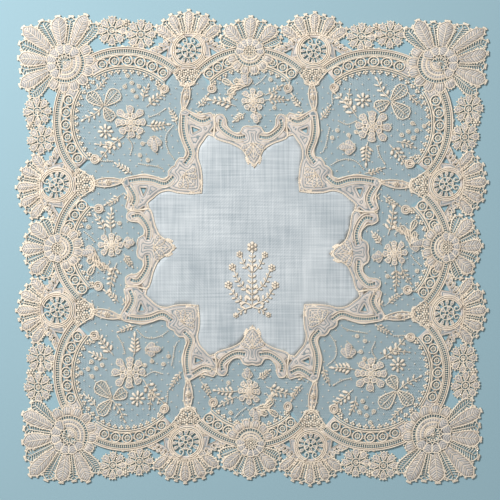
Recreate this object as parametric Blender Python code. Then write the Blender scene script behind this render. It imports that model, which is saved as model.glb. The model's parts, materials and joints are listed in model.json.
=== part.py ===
"""Lace handkerchief, lying flat: a cambric centre in a wide frame of needle lace.

The pattern is drawn in millimetres for the far side and its left corner, mirrored and turned
round the four sides, and then pulled a little out of true, as the real cloth lies. Every piece
is a flat solid with its top face raised where the lace is padded.
"""
import math
from collections import namedtuple

import bmesh
import bpy
import numpy as np
from mathutils import Vector, geometry

# Driving sizes in millimetres
MM = 0.001
PIXEL_SIZE = 0.85
PHOTO_MIDDLE = (252.0, 249.0)
GAP = 0.5
OUTLINE_TOLERANCE = 0.1
PANEL_PITCH = 106.2
CORD_RADIUS = 46.8
RING_RADIUS = 53.3
BAND_RADIUS = 61.2
BAND_HALF = 3.2
RING_SIZE = 4.6
ROSE_PITCH = 157.2
SIDE_ROSE_OUT = 165.8
MEDALLION_ALONG = 53.5
MEDALLION_OUT = 166.3
DAISY_PLACES = ((-117.3, 184.0), (-93.5, 181.0))
DAISY_RADIUS = 11.5
DAISY_NOTCH = 2.4
DAISY_EYE = 4.4
KNOT_PLACE = (-105.6, 191.0)
KNOT_RADIUS = 3.4
CURL_RADIUS = 3.6
CORNER_CURL = (-73.4, 135.1)
SIDE_CURL = (-32.7, 132.5)
LAWN_TUCK = 1.2
SPLINE_SLACK = 150.0
CORNER_ARC_TURNS = (13, 88)
SIDE_ARC_TURNS = (-9, -45)
CORNER_RING_TURNS = (23.5, 35, 46.5, 58, 69.5, 81)
SIDE_RING_TURNS = (-21, -31.5, -41.5)
ARC_STEP = 9.5

# Thickness of each kind of piece, and how far its padded parts stand up
LAWN_THICK = 1.0
NET_THICK = 1.0
TAPE_THICK = 1.3
MOTIF_THICK = 1.4
PAD = 0.7
LOW_PAD = 0.45

# Names of the four sides, clockwise from the far one, and of the corner left of each
SIDES = ("far", "right", "near", "left")
CORNERS = ("far_left", "far_right", "near_right", "near_left")

Motif = namedtuple("Motif", "outlines holes reliefs")
Relief = namedtuple("Relief", "outline ridge height")
Leaf = namedtuple("Leaf", "turn start reach width padded")
Blossom = namedtuple("Blossom", "crown skirt half_turn lobes pad_start heart heart_half")
Spray = namedtuple("Spray", "along out turn length width")
Landmark = namedtuple("Landmark", "side along out pixel_x pixel_y")
Piece = namedtuple("Piece", "name motif thick colour")

# Colours of the threads, without what shows through them
CREAM = (0.86, 0.78, 0.68, 1.0)
TOILE = (0.80, 0.74, 0.68, 1.0)
CAMBRIC = (0.84, 0.86, 0.86, 1.0)
NET = (0.82, 0.80, 0.76, 1.0)
CLOTH_ROUGHNESS = 0.85

# Where named points of the pattern are seen in the photograph
LANDMARKS = (
    Landmark(0, -157.2, 157.2, 64.6, 63.0),
    Landmark(1, -157.2, 157.2, 438.9, 63.8),
    Landmark(2, -157.2, 157.2, 432.6, 434.2),
    Landmark(3, -157.2, 157.2, 69.4, 435.7),
    Landmark(0, 0.0, 165.8, 249.6, 52.0),
    Landmark(1, 0.0, 165.8, 446.1, 247.2),
    Landmark(2, 0.0, 165.8, 251.0, 442.9),
    Landmark(3, 0.0, 165.8, 58.0, 248.3),
    Landmark(0, -53.5, 166.3, 189.0, 50.5),
    Landmark(0, 53.5, 166.3, 313.8, 51.0),
    Landmark(1, -53.5, 166.3, 446.1, 184.0),
    Landmark(1, 53.5, 166.3, 446.9, 313.0),
    Landmark(2, -53.5, 166.3, 310.6, 445.3),
    Landmark(2, 53.5, 166.3, 185.7, 442.0),
    Landmark(3, -53.5, 166.3, 57.4, 309.8),
    Landmark(3, 53.5, 166.3, 56.6, 185.0),
    Landmark(0, -32.7, 132.5, 212.0, 89.0),
    Landmark(0, 32.7, 132.5, 288.0, 88.6),
    Landmark(1, -32.7, 132.5, 405.7, 209.6),
    Landmark(1, 32.7, 132.5, 407.4, 290.0),
    Landmark(2, -32.7, 132.5, 287.8, 406.6),
    Landmark(2, 32.7, 132.5, 213.2, 402.4),
    Landmark(3, -32.7, 132.5, 98.4, 285.8),
    Landmark(3, 32.7, 132.5, 98.9, 208.7),
    Landmark(0, -73.4, 135.1, 164.4, 89.6),
    Landmark(0, 73.4, 135.1, 333.9, 87.9),
    Landmark(1, -73.4, 135.1, 409.9, 163.9),
    Landmark(1, 73.4, 135.1, 410.7, 337.2),
    Landmark(2, -73.4, 135.1, 333.9, 409.0),
    Landmark(2, 73.4, 135.1, 164.4, 409.0),
    Landmark(3, -73.4, 135.1, 94.6, 335.6),
    Landmark(3, 73.4, 135.1, 95.1, 159.0),
    Landmark(0, -57.2, 112.1, 182.2, 110.8),
    Landmark(0, 57.2, 112.1, 315.4, 111.8),
    Landmark(1, -57.2, 112.1, 378.8, 180.5),
    Landmark(1, 57.2, 112.1, 382.7, 318.8),
    Landmark(2, -57.2, 112.1, 316.3, 379.6),
    Landmark(2, 57.2, 112.1, 186.8, 378.3),
    Landmark(3, -57.2, 112.1, 122.5, 318.8),
    Landmark(3, 57.2, 112.1, 124.4, 179.9),
    Landmark(0, -45.7, 45.7, 201.6, 193.0),
    Landmark(1, -45.7, 45.7, 299.5, 191.3),
    Landmark(2, -45.7, 45.7, 304.6, 304.6),
    Landmark(3, -45.7, 45.7, 198.0, 305.5),
    Landmark(0, -191.1, 191.1, 21.7, 26.4),
    Landmark(0, -163.1, 199.3, 57.8, 15.0),
    Landmark(0, -199.3, 163.1, 16.9, 57.8),
    Landmark(0, -138.5, 199.2, 86.7, 13.3),
    Landmark(0, -199.2, 138.5, 18.7, 86.7),
    Landmark(1, -191.1, 191.1, 486.7, 27.8),
    Landmark(1, -163.1, 199.3, 489.1, 52.8),
    Landmark(1, -199.3, 163.1, 447.8, 19.8),
    Landmark(1, -138.5, 199.2, 487.2, 82.8),
    Landmark(1, -199.2, 138.5, 416.7, 18.9),
    Landmark(2, -191.1, 191.1, 475.0, 477.8),
    Landmark(2, -163.1, 199.3, 437.8, 484.1),
    Landmark(2, -199.3, 163.1, 482.2, 439.4),
    Landmark(3, -191.1, 191.1, 28.7, 476.9),
    Landmark(3, -163.1, 199.3, 21.1, 442.2),
    Landmark(3, -199.3, 163.1, 61.1, 483.9),
    Landmark(3, 117.3, 184.0, 37.5, 111.7),
    Landmark(3, 93.5, 181.0, 41.7, 140.0),
    Landmark(0, 0.0, 66.5, 254.3, 167.5),
    Landmark(1, 0.0, 66.5, 330.2, 253.8),
    Landmark(2, 0.0, 66.5, 252.5, 325.7),
    Landmark(3, 0.0, 66.5, 175.7, 247.5),
)

# Leaf fans: turn from the outward axis, start and tip radius, width, whether padded
CORNER_FAN = (
    Leaf(0, 12, 48, 14, True), Leaf(37, 12, 42.5, 14, True), Leaf(69, 12, 46, 13, True),
    Leaf(19, 14, 43, 12, False), Leaf(53, 14, 41, 12, False), Leaf(85, 14, 44.5, 10, False),
)
SIDE_FAN = (
    Leaf(0, 9, 32, 12, True), Leaf(24, 9, 30, 11, False), Leaf(43, 9, 32, 12, True),
    Leaf(62, 9, 29.5, 10, False),
)
MEDALLION_FAN = (
    Leaf(0, 10, 35.8, 8.5, True), Leaf(14, 10, 34.3, 8, False), Leaf(27, 10, 35.3, 8.5, True),
    Leaf(40, 10, 34.8, 8.5, False), Leaf(52, 10, 35.5, 8, False),
)

# The two roses: radii of crown and skirt, half turn of the crown, lobes of the skirt, where
# their pads start, and the radius and half width of the raised crescent round the eye
CORNER_BLOSSOM = Blossom(15.5, 25.0, 92, 7, 15.0, 11.0, 3.2)
SIDE_BLOSSOM = Blossom(11.5, 20.5, 100, 6, 11.0, 7.0, 2.4)
HEART_TURNS = (60, 300)
EYE_RADIUS = 5.8
EYE_SILL = (0.0, -2.2)
EYE_MIDDLE = (0.0, -1.0)

# The medallion from its wheel: left half of its body, the chain inwards, band and slits
MEDALLION_BODY = (
    (0.0, 14.5), (-9.0, 13.8), (-17.5, 10.2), (-24.5, 5.0), (-32.5, 2.2), (-28.5, -3.0),
    (-20.5, -9.0), (-13.5, -17.0), (-8.0, -24.0), (-4.0, -30.0),
)
MEDALLION_FLOWER = (0.0, -22.5)
MEDALLION_FLOWER_RADIUS = 8.0
CHAIN = ((0.0, -28.0), (-1.2, -41.0), (-2.6, -53.0))
CHAIN_HALF = 2.6
CHAIN_FLOWER_RADIUS = 4.8
ONION_RADIUS = 13.0
ONION_HALF = 2.4
ONION_TURNS = (35, 325)
WHEEL_RADIUS = 6.0
SLIT_RADIUS = 9.0
SLIT_HALF = 1.9
SLIT_TURNS = (60, 120)

# Half width of a leaf along its length, as shares
LEAF_PROFILE = ((0.0, 0.35), (0.5, 1.0), (0.9, 0.8))

# Octant outlines of the tapes between net and lawn, in the far side's frame
SIDE_TAPE = (
    (0.0, 99.5), (-3.4, 100.3), (-8.1, 99.0), (-10.6, 94.8), (-16.2, 94.8), (-21.3, 100.3),
    (-21.8, 105.4), (-24.4, 109.6), (-28.9, 109.2), (-30.9, 107.0), (-31.4, 100.0),
    (-32.9, 91.0), (-27.6, 87.9), (-18.7, 85.4), (-9.9, 80.8), (-5.4, 73.5), (0.0, 66.5),
)
CORNER_TAPE = (
    (-32.7, 91.2), (-31.4, 100.0), (-31.6, 107.0), (-34.0, 110.9), (-37.4, 110.0),
    (-43.0, 108.8), (-48.8, 110.6), (-55.2, 114.0), (-58.6, 111.4), (-60.2, 103.0),
    (-61.6, 95.0), (-59.6, 86.5), (-57.4, 79.0), (-59.2, 73.8), (-63.4, 73.6), (-66.4, 70.6),
    (-67.6, 67.6),
)
LAWN_EDGE = (
    (-32.7, 91.2), (-37.4, 92.4), (-41.7, 87.4), (-45.9, 82.0), (-47.6, 74.0), (-45.8, 66.3),
    (-45.0, 56.1), (-45.7, 45.7),
)
BIG_EYELET = ((-50.6, 98.9), (-50.2, 93.0), (-43.8, 96.2))
SMALL_EYELET = ((-31.6, 99.6), (-35.0, 95.0), (-30.2, 95.4))

# Ladder stitch in the tapes: side scroll, corner scroll and the long one by the net
SIDE_LADDER = ((-26.0, 105.0), (-26.0, 98.2), (-18.5, 91.8), (-6.5, 91.2))
SCROLL_LADDER = ((-52.0, 108.6), (-46.0, 104.8), (-40.8, 103.2), (-34.6, 105.8))
LONG_LADDER = ((-56.2, 108.0), (-57.4, 94.0), (-53.2, 78.0), (-58.6, 69.2))

LADDER_HALF = 2.1

# Raised palmettes where the tapes meet the lawn: length and width, and their roots
PALMETTE_SIZE = (17.0, 12.5)
SIDE_PALMETTE = (0.0, 86.0)
CORNER_PALMETTE = (-60.5, 60.5)

# Net sheets, to be cut back by the tapes round them
SIDE_NET_INNER = (
    (0.0, 98.0), (-10.0, 91.0), (-22.0, 92.0), (-29.0, 104.0), (-36.0, 106.0), (-45.0, 105.0),
    (-54.5, 111.0), (-52.5, 126.0), (-48.5, 136.0),
)
CORNER_NET_INNER = (
    (-58.5, 136.0), (-55.5, 126.0), (-55.5, 111.0), (-57.5, 95.0), (-54.5, 80.0), (-60.0, 68.0),
    (-62.0, 62.0),
)

# Raised sprays on the net, from the circle's centre: place of the root, turn, length, width
CORNER_SPRAYS = (
    Spray(2, 15, -52, 25, 8), Spray(-8, 8, -120, 24, 8), Spray(3, -9, 190, 22, 6.5),
    Spray(12, -8, 150, 22, 7), Spray(20, -2, 120, 20, 7), Spray(21, 8, 80, 24, 8),
    Spray(18, 17, 48, 21, 7), Spray(-14, -8, 205, 16, 10),
)
CORNER_LEAVES = (
    Spray(-16, 18, -62, 15, 10), Spray(-14, 21, -5, 15, 11), Spray(-12, 16, 40, 12, 9),
)
CORNER_ROSE = Spray(9, 4, 0, 14, 12)
CORNER_STAR = Spray(-17, -8, 0, 9, 9)
SIDE_SPRAYS = (
    Spray(-4, 29, -98, 22, 7), Spray(-12, 13, -75, 22, 9), Spray(-4, 7, -122, 13, 7),
    Spray(13, 16, 90, 18, 10), Spray(12, 21, 62, 15, 7), Spray(6, 29, 45, 12, 6),
    Spray(4, 6, 180, 9, 7),
)
SIDE_BUD = Spray(-4, 29, 0, 12, 9)
SIDE_FLOWER = Spray(1, 17, 0, 13, 11)

# The embroidered sprig on the cambric, near its lower lobe
SPRIG_FOOT = (0.0, -52.0)
SPRIG_LEAVES = (
    Leaf(0, 18, 44, 9, True), Leaf(32, 12, 34, 8, True), Leaf(62, 9, 26, 7, True),
    Leaf(104, 5, 19, 6, True),
)


def turned(points, degrees):
    """Turn points clockwise about the origin."""
    angle = math.radians(degrees)
    cosine, sine = math.cos(angle), math.sin(angle)
    flat = np.asarray(points, dtype=float)
    return np.column_stack((flat[:, 0] * cosine + flat[:, 1] * sine,
                            flat[:, 1] * cosine - flat[:, 0] * sine))


def placed(points, at=(0.0, 0.0), turn=0.0):
    """Turn points clockwise and then move them."""
    return turned(points, turn) + np.array(at)


def mirrored(points):
    """The same points on the other side of the out axis."""
    return np.asarray(points, dtype=float) * (-1.0, 1.0)


def across_corner(points):
    """The same points on the other side of the far left corner's diagonal."""
    flat = np.asarray(points, dtype=float)
    return np.column_stack((-flat[:, 1], -flat[:, 0]))


def arc(centre, radius, start, stop, count):
    """Points on a circle, angles clockwise from the out axis."""
    angles = np.radians(np.linspace(start, stop, count))
    return np.column_stack((np.sin(angles), np.cos(angles))) * radius + np.array(centre)


def circle(centre, radius, count):
    """A closed polygon on a circle."""
    return arc(centre, radius, 0, 360, count + 1)[:-1]


def band(path, half):
    """A closed strip about a path."""
    line = np.asarray(path, dtype=float)
    along = np.gradient(line, axis=0)
    along /= np.linalg.norm(along, axis=1)[:, None]
    across = np.column_stack((along[:, 1], -along[:, 0])) * half
    return np.vstack((line + across, (line - across)[::-1]))


def raised_band(path, half, height):
    """A strip along a path, raised along its middle and falling away to its ends."""
    line = np.array(path, dtype=float)
    outline = band(line, half)
    for end, beside in ((0, 1), (-1, -2)):
        inward = line[beside] - line[end]
        line[end] += inward * half / np.linalg.norm(inward)
    return Relief(outline, line, height)


def area_of(outline):
    """Signed area, positive when the outline runs anticlockwise."""
    x, y = outline[:, 0], outline[:, 1]
    return 0.5 * float(np.dot(x, np.roll(y, -1)) - np.dot(y, np.roll(x, -1)))


def anticlockwise(outline):
    """The outline with its points in anticlockwise order."""
    closed = np.asarray(outline, dtype=float)
    return closed if area_of(closed) > 0 else closed[::-1]


def grown(outline, width):
    """An anticlockwise outline moved outwards, each corner along its mitre."""
    ahead = np.roll(outline, -1, axis=0) - outline
    ahead /= np.linalg.norm(ahead, axis=1)[:, None]
    normal = np.column_stack((ahead[:, 1], -ahead[:, 0]))
    corner = normal + np.roll(normal, 1, axis=0)
    stretch = np.maximum((corner ** 2).sum(axis=1) / 2.0, 0.5)
    return outline + width * corner / stretch[:, None]


def leaf_outline(length, width):
    """A leaf along +y from the origin, with a notched tip."""
    right = [(width / 2 * share, length * way) for way, share in LEAF_PROFILE]
    left = [(-x, y) for x, y in reversed(right)]
    return np.array(right + [(0.0, length)] + left)


def leaf_pad(length, width, height):
    """The raised middle of a leaf along +y from the origin."""
    ridge = [(0.0, length * 0.45), (0.0, length * 0.85)]
    side = width * 0.36
    outline = [(0.0, length * 0.3), (side, length * 0.62), (0.0, length * 0.95),
               (-side, length * 0.62)]
    return Relief(np.array(outline), np.array(ridge), height)


def moved_relief(relief, at=(0.0, 0.0), turn=0.0):
    """A relief turned clockwise and moved."""
    return Relief(placed(relief.outline, at, turn), placed(relief.ridge, at, turn), relief.height)


def fan(leaves, height):
    """Both halves of a leaf fan about the origin, with a pad on each leaf."""
    outlines, reliefs = [], []
    for row in leaves:
        length = row.reach - row.start
        for turn in {row.turn, -row.turn}:
            foot = turned([(0.0, row.start)], turn)[0]
            outlines.append(placed(leaf_outline(length, row.width), foot, turn))
            if row.padded:
                reliefs.append(moved_relief(leaf_pad(length, row.width, height), foot, turn))
    return outlines, reliefs


def ring_relief(centre, radius, count, height):
    """A raised ring with a hollow middle."""
    rim = circle(centre, radius * 0.62, count)
    return Relief(circle(centre, radius, count), np.vstack((rim, rim[:1])), height)


def lobed(centre, radius, lobes, depth):
    """A flower outline with one high point and one notch for each lobe."""
    angles = np.radians(np.arange(2 * lobes) * 180.0 / lobes)
    reach = radius - depth * (np.arange(2 * lobes) % 2)
    return np.column_stack((np.sin(angles), np.cos(angles))) * reach[:, None] + np.array(centre)


def blossom_outline(row):
    """A rose seen from above: a plain crown outwards and a ruffled skirt inwards."""
    top = arc((0, 0), row.crown, row.half_turn, -row.half_turn, 7)
    angles = np.linspace(-row.half_turn - 4, row.half_turn - 356, 2 * row.lobes + 1)
    reach = row.skirt - 0.12 * row.skirt * (np.arange(2 * row.lobes + 1) % 2 == 0)
    ruffle = np.column_stack((np.sin(np.radians(angles)), np.cos(np.radians(angles))))
    return np.vstack((top, ruffle * reach[:, None]))


def blossom_reliefs(row, middle):
    """A raised petal in each lobe of a rose's skirt, and the crescent round its eye."""
    step = (352.0 - 2 * row.half_turn) / row.lobes
    pads = []
    for index in range(row.lobes):
        turn = row.half_turn + 4 + step * (index + 0.5)
        foot = turned([(0.0, row.pad_start)], turn)[0]
        petal = leaf_pad(row.skirt - row.pad_start, row.skirt * 0.36, PAD)
        pads.append(moved_relief(petal, foot, turn))
    heart = arc(middle, row.heart, *HEART_TURNS, 5)
    return pads + [raised_band(heart, row.heart_half, PAD)]


def corner_rose():
    """The large rose of a corner, outwards along +y from its eye."""
    outlines, reliefs = fan(CORNER_FAN, PAD)
    outlines.append(blossom_outline(CORNER_BLOSSOM))
    reliefs += blossom_reliefs(CORNER_BLOSSOM, EYE_MIDDLE)
    eye = np.vstack((arc(EYE_MIDDLE, EYE_RADIUS, -100, 100, 6), [EYE_SILL]))
    return Motif(outlines, [eye], reliefs)


def side_rose():
    """The rose at the middle of a side, outwards along +y from its eye."""
    outlines, reliefs = fan(SIDE_FAN, PAD)
    outlines.append(blossom_outline(SIDE_BLOSSOM))
    reliefs += blossom_reliefs(SIDE_BLOSSOM, (0.0, 0.0))
    return Motif(outlines, [], reliefs)


def medallion():
    """A wheel in an onion-shaped band, with wings, a leaf fan and the chain in to the tapes."""
    outlines, reliefs = fan(MEDALLION_FAN, LOW_PAD)
    outlines.append(np.vstack((MEDALLION_BODY, mirrored(MEDALLION_BODY)[::-1][:-1])))
    outlines.append(circle(MEDALLION_FLOWER, MEDALLION_FLOWER_RADIUS, 8))
    outlines.append(band(CHAIN, CHAIN_HALF))
    outlines.append(circle(CHAIN[1], CHAIN_FLOWER_RADIUS, 6))
    onion = arc((0, 1.5), ONION_RADIUS, *ONION_TURNS, 6)
    reliefs.append(raised_band(onion, ONION_HALF, LOW_PAD))
    reliefs.append(ring_relief((0, 0), WHEEL_RADIUS, 6, PAD))
    slit = band(arc((0, 0), SLIT_RADIUS, *SLIT_TURNS, 2), SLIT_HALF)
    return Motif(outlines, [slit, mirrored(slit)], reliefs)


def daisy_pair():
    """Two eight-petal flowers by the edge, in the far side's frame."""
    outlines = [circle(KNOT_PLACE, KNOT_RADIUS, 6), band(DAISY_PLACES, 2.0)]
    reliefs = []
    for at in DAISY_PLACES:
        outlines.append(lobed(at, DAISY_RADIUS, 8, DAISY_NOTCH))
        reliefs.append(ring_relief(at, DAISY_EYE, 5, PAD))
    return Motif(outlines, [], reliefs)


def ring_arc(centre, outward, turns, ring_turns, curl):
    """A curved tape of rings and ladder stitch, on one side of the outward direction."""
    first, last = outward + turns[0], outward + turns[1]
    count = max(4, int(abs(last - first) / ARC_STEP))
    inner = arc(centre, CORD_RADIUS - 1.5, first, last, count)
    outer = arc(centre, BAND_RADIUS + BAND_HALF, last, first, count)
    neck = np.vstack((arc(centre, CORD_RADIUS, last, last, 1), [curl]))
    outlines = [np.vstack((inner, outer)), circle(curl, CURL_RADIUS, 6), band(neck, 1.5)]
    reliefs = []
    for turn in ring_turns:
        at = arc(centre, RING_RADIUS, outward + turn, outward + turn, 1)[0]
        reliefs.append(ring_relief(at, RING_SIZE, 5, PAD))
    return Motif(outlines, [], reliefs)


def corner_arc():
    """The corner tape on the side towards the far side's middle."""
    centre = (-PANEL_PITCH, PANEL_PITCH)
    return ring_arc(centre, -45.0, CORNER_ARC_TURNS, CORNER_RING_TURNS, CORNER_CURL)


def side_arc():
    """The left tape of the far side's net."""
    return ring_arc((0.0, PANEL_PITCH), 0.0, SIDE_ARC_TURNS, SIDE_RING_TURNS, SIDE_CURL)


def side_tape():
    """The tape with the palmette at the middle of the far side of the lawn."""
    half = np.array(SIDE_TAPE)
    outline = np.vstack((half, mirrored(half)[::-1][1:-1]))
    reliefs = []
    for ladder in (SIDE_LADDER, mirrored(SIDE_LADDER)):
        reliefs.append(raised_band(ladder, LADDER_HALF, LOW_PAD))
    reliefs.append(moved_relief(leaf_pad(*PALMETTE_SIZE, LOW_PAD), SIDE_PALMETTE, 180.0))
    eyelet = np.array(SMALL_EYELET)
    return Motif([outline], [eyelet, mirrored(eyelet)], reliefs)


def corner_tape():
    """The tape round the far left notch of the lawn."""
    half = np.vstack((np.array(CORNER_TAPE)[::-1], np.array(LAWN_EDGE)[1:]))
    outline = np.vstack((half, across_corner(half)[::-1][1:-1]))
    reliefs = []
    for ladder in (SCROLL_LADDER, LONG_LADDER):
        for path in (np.array(ladder), across_corner(ladder)):
            reliefs.append(raised_band(path, LADDER_HALF, LOW_PAD))
    reliefs.append(moved_relief(leaf_pad(*PALMETTE_SIZE, LOW_PAD), CORNER_PALMETTE, 135.0))
    holes = []
    for eyelet in (BIG_EYELET, SMALL_EYELET):
        holes += [np.array(eyelet), across_corner(eyelet)]
    return Motif([outline], holes, reliefs)


def spray_reliefs(rows, centre, height):
    """Raised sprays and leaves on a net, from a table of them."""
    pads = []
    for row in rows:
        at = np.array(centre) + (row.along, row.out)
        outline = [(0.0, 0.0), (row.width / 2, row.length * 0.5), (0.0, row.length),
                   (-row.width / 2, row.length * 0.5)]
        ridge = [(0.0, row.length * 0.15), (0.0, row.length * 0.8)]
        pads.append(moved_relief(Relief(np.array(outline), np.array(ridge), height), at, row.turn))
    return pads


def flower_reliefs(row, centre, lobes, height):
    """A raised flower: a lobed mound with a hollow at its middle."""
    at = np.array(centre) + (row.along, row.out)
    outline = lobed((0, 0), 1.0, lobes, 0.16) * (row.length, row.width) + at
    rim = circle((0, 0), 0.55, lobes) * (row.length, row.width) + at
    return [Relief(outline, np.vstack((rim, rim[:1])), height)]


def side_net():
    """The far net with its rose spray."""
    centre = (0.0, PANEL_PITCH)
    inner = np.array(SIDE_NET_INNER)
    outer = arc(centre, CORD_RADIUS + 1.0, -50, 50, 13)
    outline = np.vstack((inner, outer, mirrored(inner)[::-1][:-1]))
    reliefs = spray_reliefs(SIDE_SPRAYS, centre, PAD)
    reliefs += flower_reliefs(SIDE_FLOWER, centre, 6, PAD)
    reliefs += spray_reliefs((SIDE_BUD,), centre, PAD)
    return Motif([outline], [], reliefs)


def corner_net():
    """The far left net with its rose bouquet."""
    centre = (-PANEL_PITCH, PANEL_PITCH)
    half = np.array(CORNER_NET_INNER)
    outer = arc(centre, CORD_RADIUS + 1.0, -45 - 92, -45 + 92, 22)
    outline = np.vstack((half, across_corner(half)[::-1][1:], outer))
    reliefs = spray_reliefs(CORNER_SPRAYS, centre, PAD)
    reliefs += spray_reliefs(CORNER_LEAVES, centre, PAD)
    reliefs += flower_reliefs(CORNER_ROSE, centre, 6, PAD)
    reliefs += flower_reliefs(CORNER_STAR, centre, 6, LOW_PAD)
    return Motif([outline], [], reliefs)


def lawn():
    """The cambric centre, a little larger than it shows, with its embroidered sprig."""
    tape = np.array(SIDE_TAPE)
    bay = np.vstack((tape[::-1][:5], np.array(LAWN_EDGE)))
    quarter = np.vstack((bay[::-1], mirrored(bay)[1:]))[:-1]
    outline = np.vstack([turned(quarter, 90.0 * index) for index in range(4)])
    under_border = grown(anticlockwise(outline), LAWN_TUCK)
    leaves = fan(SPRIG_LEAVES, LOW_PAD)[1]
    reliefs = [moved_relief(pad, SPRIG_FOOT) for pad in leaves]
    return Motif([under_border], [], reliefs)


def changed(motif, change):
    """A motif with every outline and ridge passed through a function."""
    reliefs = [Relief(change(row.outline), change(row.ridge), row.height) for row in motif.reliefs]
    return Motif([change(row) for row in motif.outlines],
                 [change(row) for row in motif.holes], reliefs)


def laid_out(landmarks):
    """A smooth map from the drawn pattern to the cloth as it lies, by thin plate splines."""
    drawn, seen = [], []
    for row in landmarks:
        drawn.append(turned([(row.along, row.out)], 90.0 * row.side)[0])
        seen.append(((row.pixel_x - PHOTO_MIDDLE[0]) * PIXEL_SIZE,
                     (PHOTO_MIDDLE[1] - row.pixel_y) * PIXEL_SIZE))
    drawn, seen = np.array(drawn), np.array(seen)

    def kernel(points):
        squared = ((points[:, None, :] - drawn[None, :, :]) ** 2).sum(axis=2)
        return squared * np.log(squared + 1e-9)

    count = len(drawn)
    plane = np.column_stack((np.ones(count), drawn))
    system = np.zeros((count + 3, count + 3))
    system[:count, :count] = kernel(drawn) + SPLINE_SLACK * np.eye(count)
    system[:count, count:] = plane
    system[count:, :count] = plane.T
    weights = np.linalg.solve(system, np.vstack((seen, np.zeros((3, 2)))))

    def lay(points):
        flat = np.asarray(points, dtype=float)
        terms = np.column_stack((kernel(flat), np.ones(len(flat)), flat))
        return terms @ weights

    return lay


def all_pieces():
    """Every piece of the drawn pattern, those that lie over the others first."""
    def at_corner(points):
        return placed(points, (-ROSE_PITCH, ROSE_PITCH), -45.0)

    def at_side(points):
        return placed(points, (0.0, SIDE_ROSE_OUT))

    def at_medallion(points):
        return placed(points, (-MEDALLION_ALONG, MEDALLION_OUT))

    single = (
        ("rose", CORNERS, changed(corner_rose(), at_corner), MOTIF_THICK, TOILE),
        ("rose", SIDES, changed(side_rose(), at_side), MOTIF_THICK, TOILE),
    )
    paired = (
        ("arc_corner", corner_arc(), MOTIF_THICK, CREAM),
        ("arc_side", side_arc(), MOTIF_THICK, CREAM),
        ("medallion", changed(medallion(), at_medallion), MOTIF_THICK, CREAM),
        ("daisies", daisy_pair(), MOTIF_THICK, CREAM),
    )
    under = (
        ("border", SIDES, side_tape(), TAPE_THICK, CREAM),
        ("border", CORNERS, corner_tape(), TAPE_THICK, CREAM),
    )
    nets = (
        ("net", SIDES, side_net(), NET_THICK, NET),
        ("net", CORNERS, corner_net(), NET_THICK, NET),
    )
    pieces = []

    def add_singles(rows):
        for kind, names, motif, thick, colour in rows:
            for index, name in enumerate(names):
                turn = 90.0 * index
                here = changed(motif, lambda points, turn=turn: turned(points, turn))
                pieces.append(Piece(kind + "_" + name, here, thick, colour))

    add_singles(single)
    for kind, motif, thick, colour in paired:
        for index, name in enumerate(SIDES):
            for half, flip in (("a", False), ("b", True)):
                def change(points, turn=90.0 * index, flip=flip):
                    return turned(mirrored(points) if flip else points, turn)
                full_name = "_".join((kind, name, half))
                pieces.append(Piece(full_name, changed(motif, change), thick, colour))
    add_singles(under)
    pieces.append(Piece("lawn", lawn(), LAWN_THICK, CAMBRIC))
    add_singles(nets)
    return pieces


def inside(points, outline):
    """Which points lie inside a closed outline, by its winding number."""
    result = np.zeros(len(points), dtype=bool)
    low, high = outline.min(axis=0), outline.max(axis=0)
    near = np.where(np.all((points >= low) & (points <= high), axis=1))[0]
    if len(near) == 0:
        return result
    x, y = points[near, 0], points[near, 1]
    winding = np.zeros(len(near), dtype=int)
    for first, second in zip(outline, np.roll(outline, -1, axis=0)):
        side = (second[0] - first[0]) * (y - first[1]) - (x - first[0]) * (second[1] - first[1])
        winding += (first[1] <= y) & (second[1] > y) & (side > 0)
        winding -= (first[1] > y) & (second[1] <= y) & (side < 0)
    result[near] = winding != 0
    return result


def inside_any(points, outlines):
    """Which points lie inside at least one of the outlines."""
    result = np.zeros(len(points), dtype=bool)
    for outline in outlines:
        result |= inside(points, outline)
    return result


def triangulated(loops, lines=()):
    """Corner points and triangles of the plane cut along closed loops and open lines."""
    points, edges = [], []
    for path, closed in [(row, True) for row in loops] + [(row, False) for row in lines]:
        first = len(points)
        points.extend(Vector((float(x), float(y))) for x, y in path)
        last = len(points) - 1
        edges.extend((index, index + 1) for index in range(first, last))
        if closed:
            edges.append((last, first))
    found = geometry.delaunay_2d_cdt(points, edges, [], 0, 1e-4, False)
    corners = np.array([(row[0], row[1]) for row in found[0]])
    return corners, np.array([tuple(row) for row in found[2]], dtype=int)


def rim_edges(triangles):
    """Directed edges used by one triangle only."""
    seen = {}
    for one, two, three in triangles:
        for edge in ((one, two), (two, three), (three, one)):
            seen[edge] = True
    return [edge for edge in seen if (edge[1], edge[0]) not in seen]


def largest_patch(triangles):
    """The largest set of triangles joined by shared edges."""
    by_edge = {}
    for index, row in enumerate(triangles):
        for one, two in zip(row, np.roll(row, -1)):
            by_edge.setdefault((min(one, two), max(one, two)), []).append(index)
    neighbours = [[] for _ in triangles]
    for users in by_edge.values():
        if len(users) == 2:
            neighbours[users[0]].append(users[1])
            neighbours[users[1]].append(users[0])
    best, visited = [], set()
    for start in range(len(triangles)):
        if start in visited:
            continue
        patch, queue = [], [start]
        visited.add(start)
        while queue:
            current = queue.pop()
            patch.append(current)
            for other in neighbours[current]:
                if other not in visited:
                    visited.add(other)
                    queue.append(other)
        if len(patch) > len(best):
            best = patch
    return [triangles[index] for index in best]


def without_pinches(triangles):
    """Triangles with every rim point on one rim only."""
    current = largest_patch([tuple(row) for row in triangles])
    while True:
        starts = {}
        for first, _ in rim_edges(current):
            starts[first] = starts.get(first, 0) + 1
        pinched = {point for point, count in starts.items() if count > 1}
        if not pinched:
            return current
        worst = min(pinched)
        drop = next(row for row in current if worst in row)
        current = largest_patch([row for row in current if row != drop])


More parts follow.
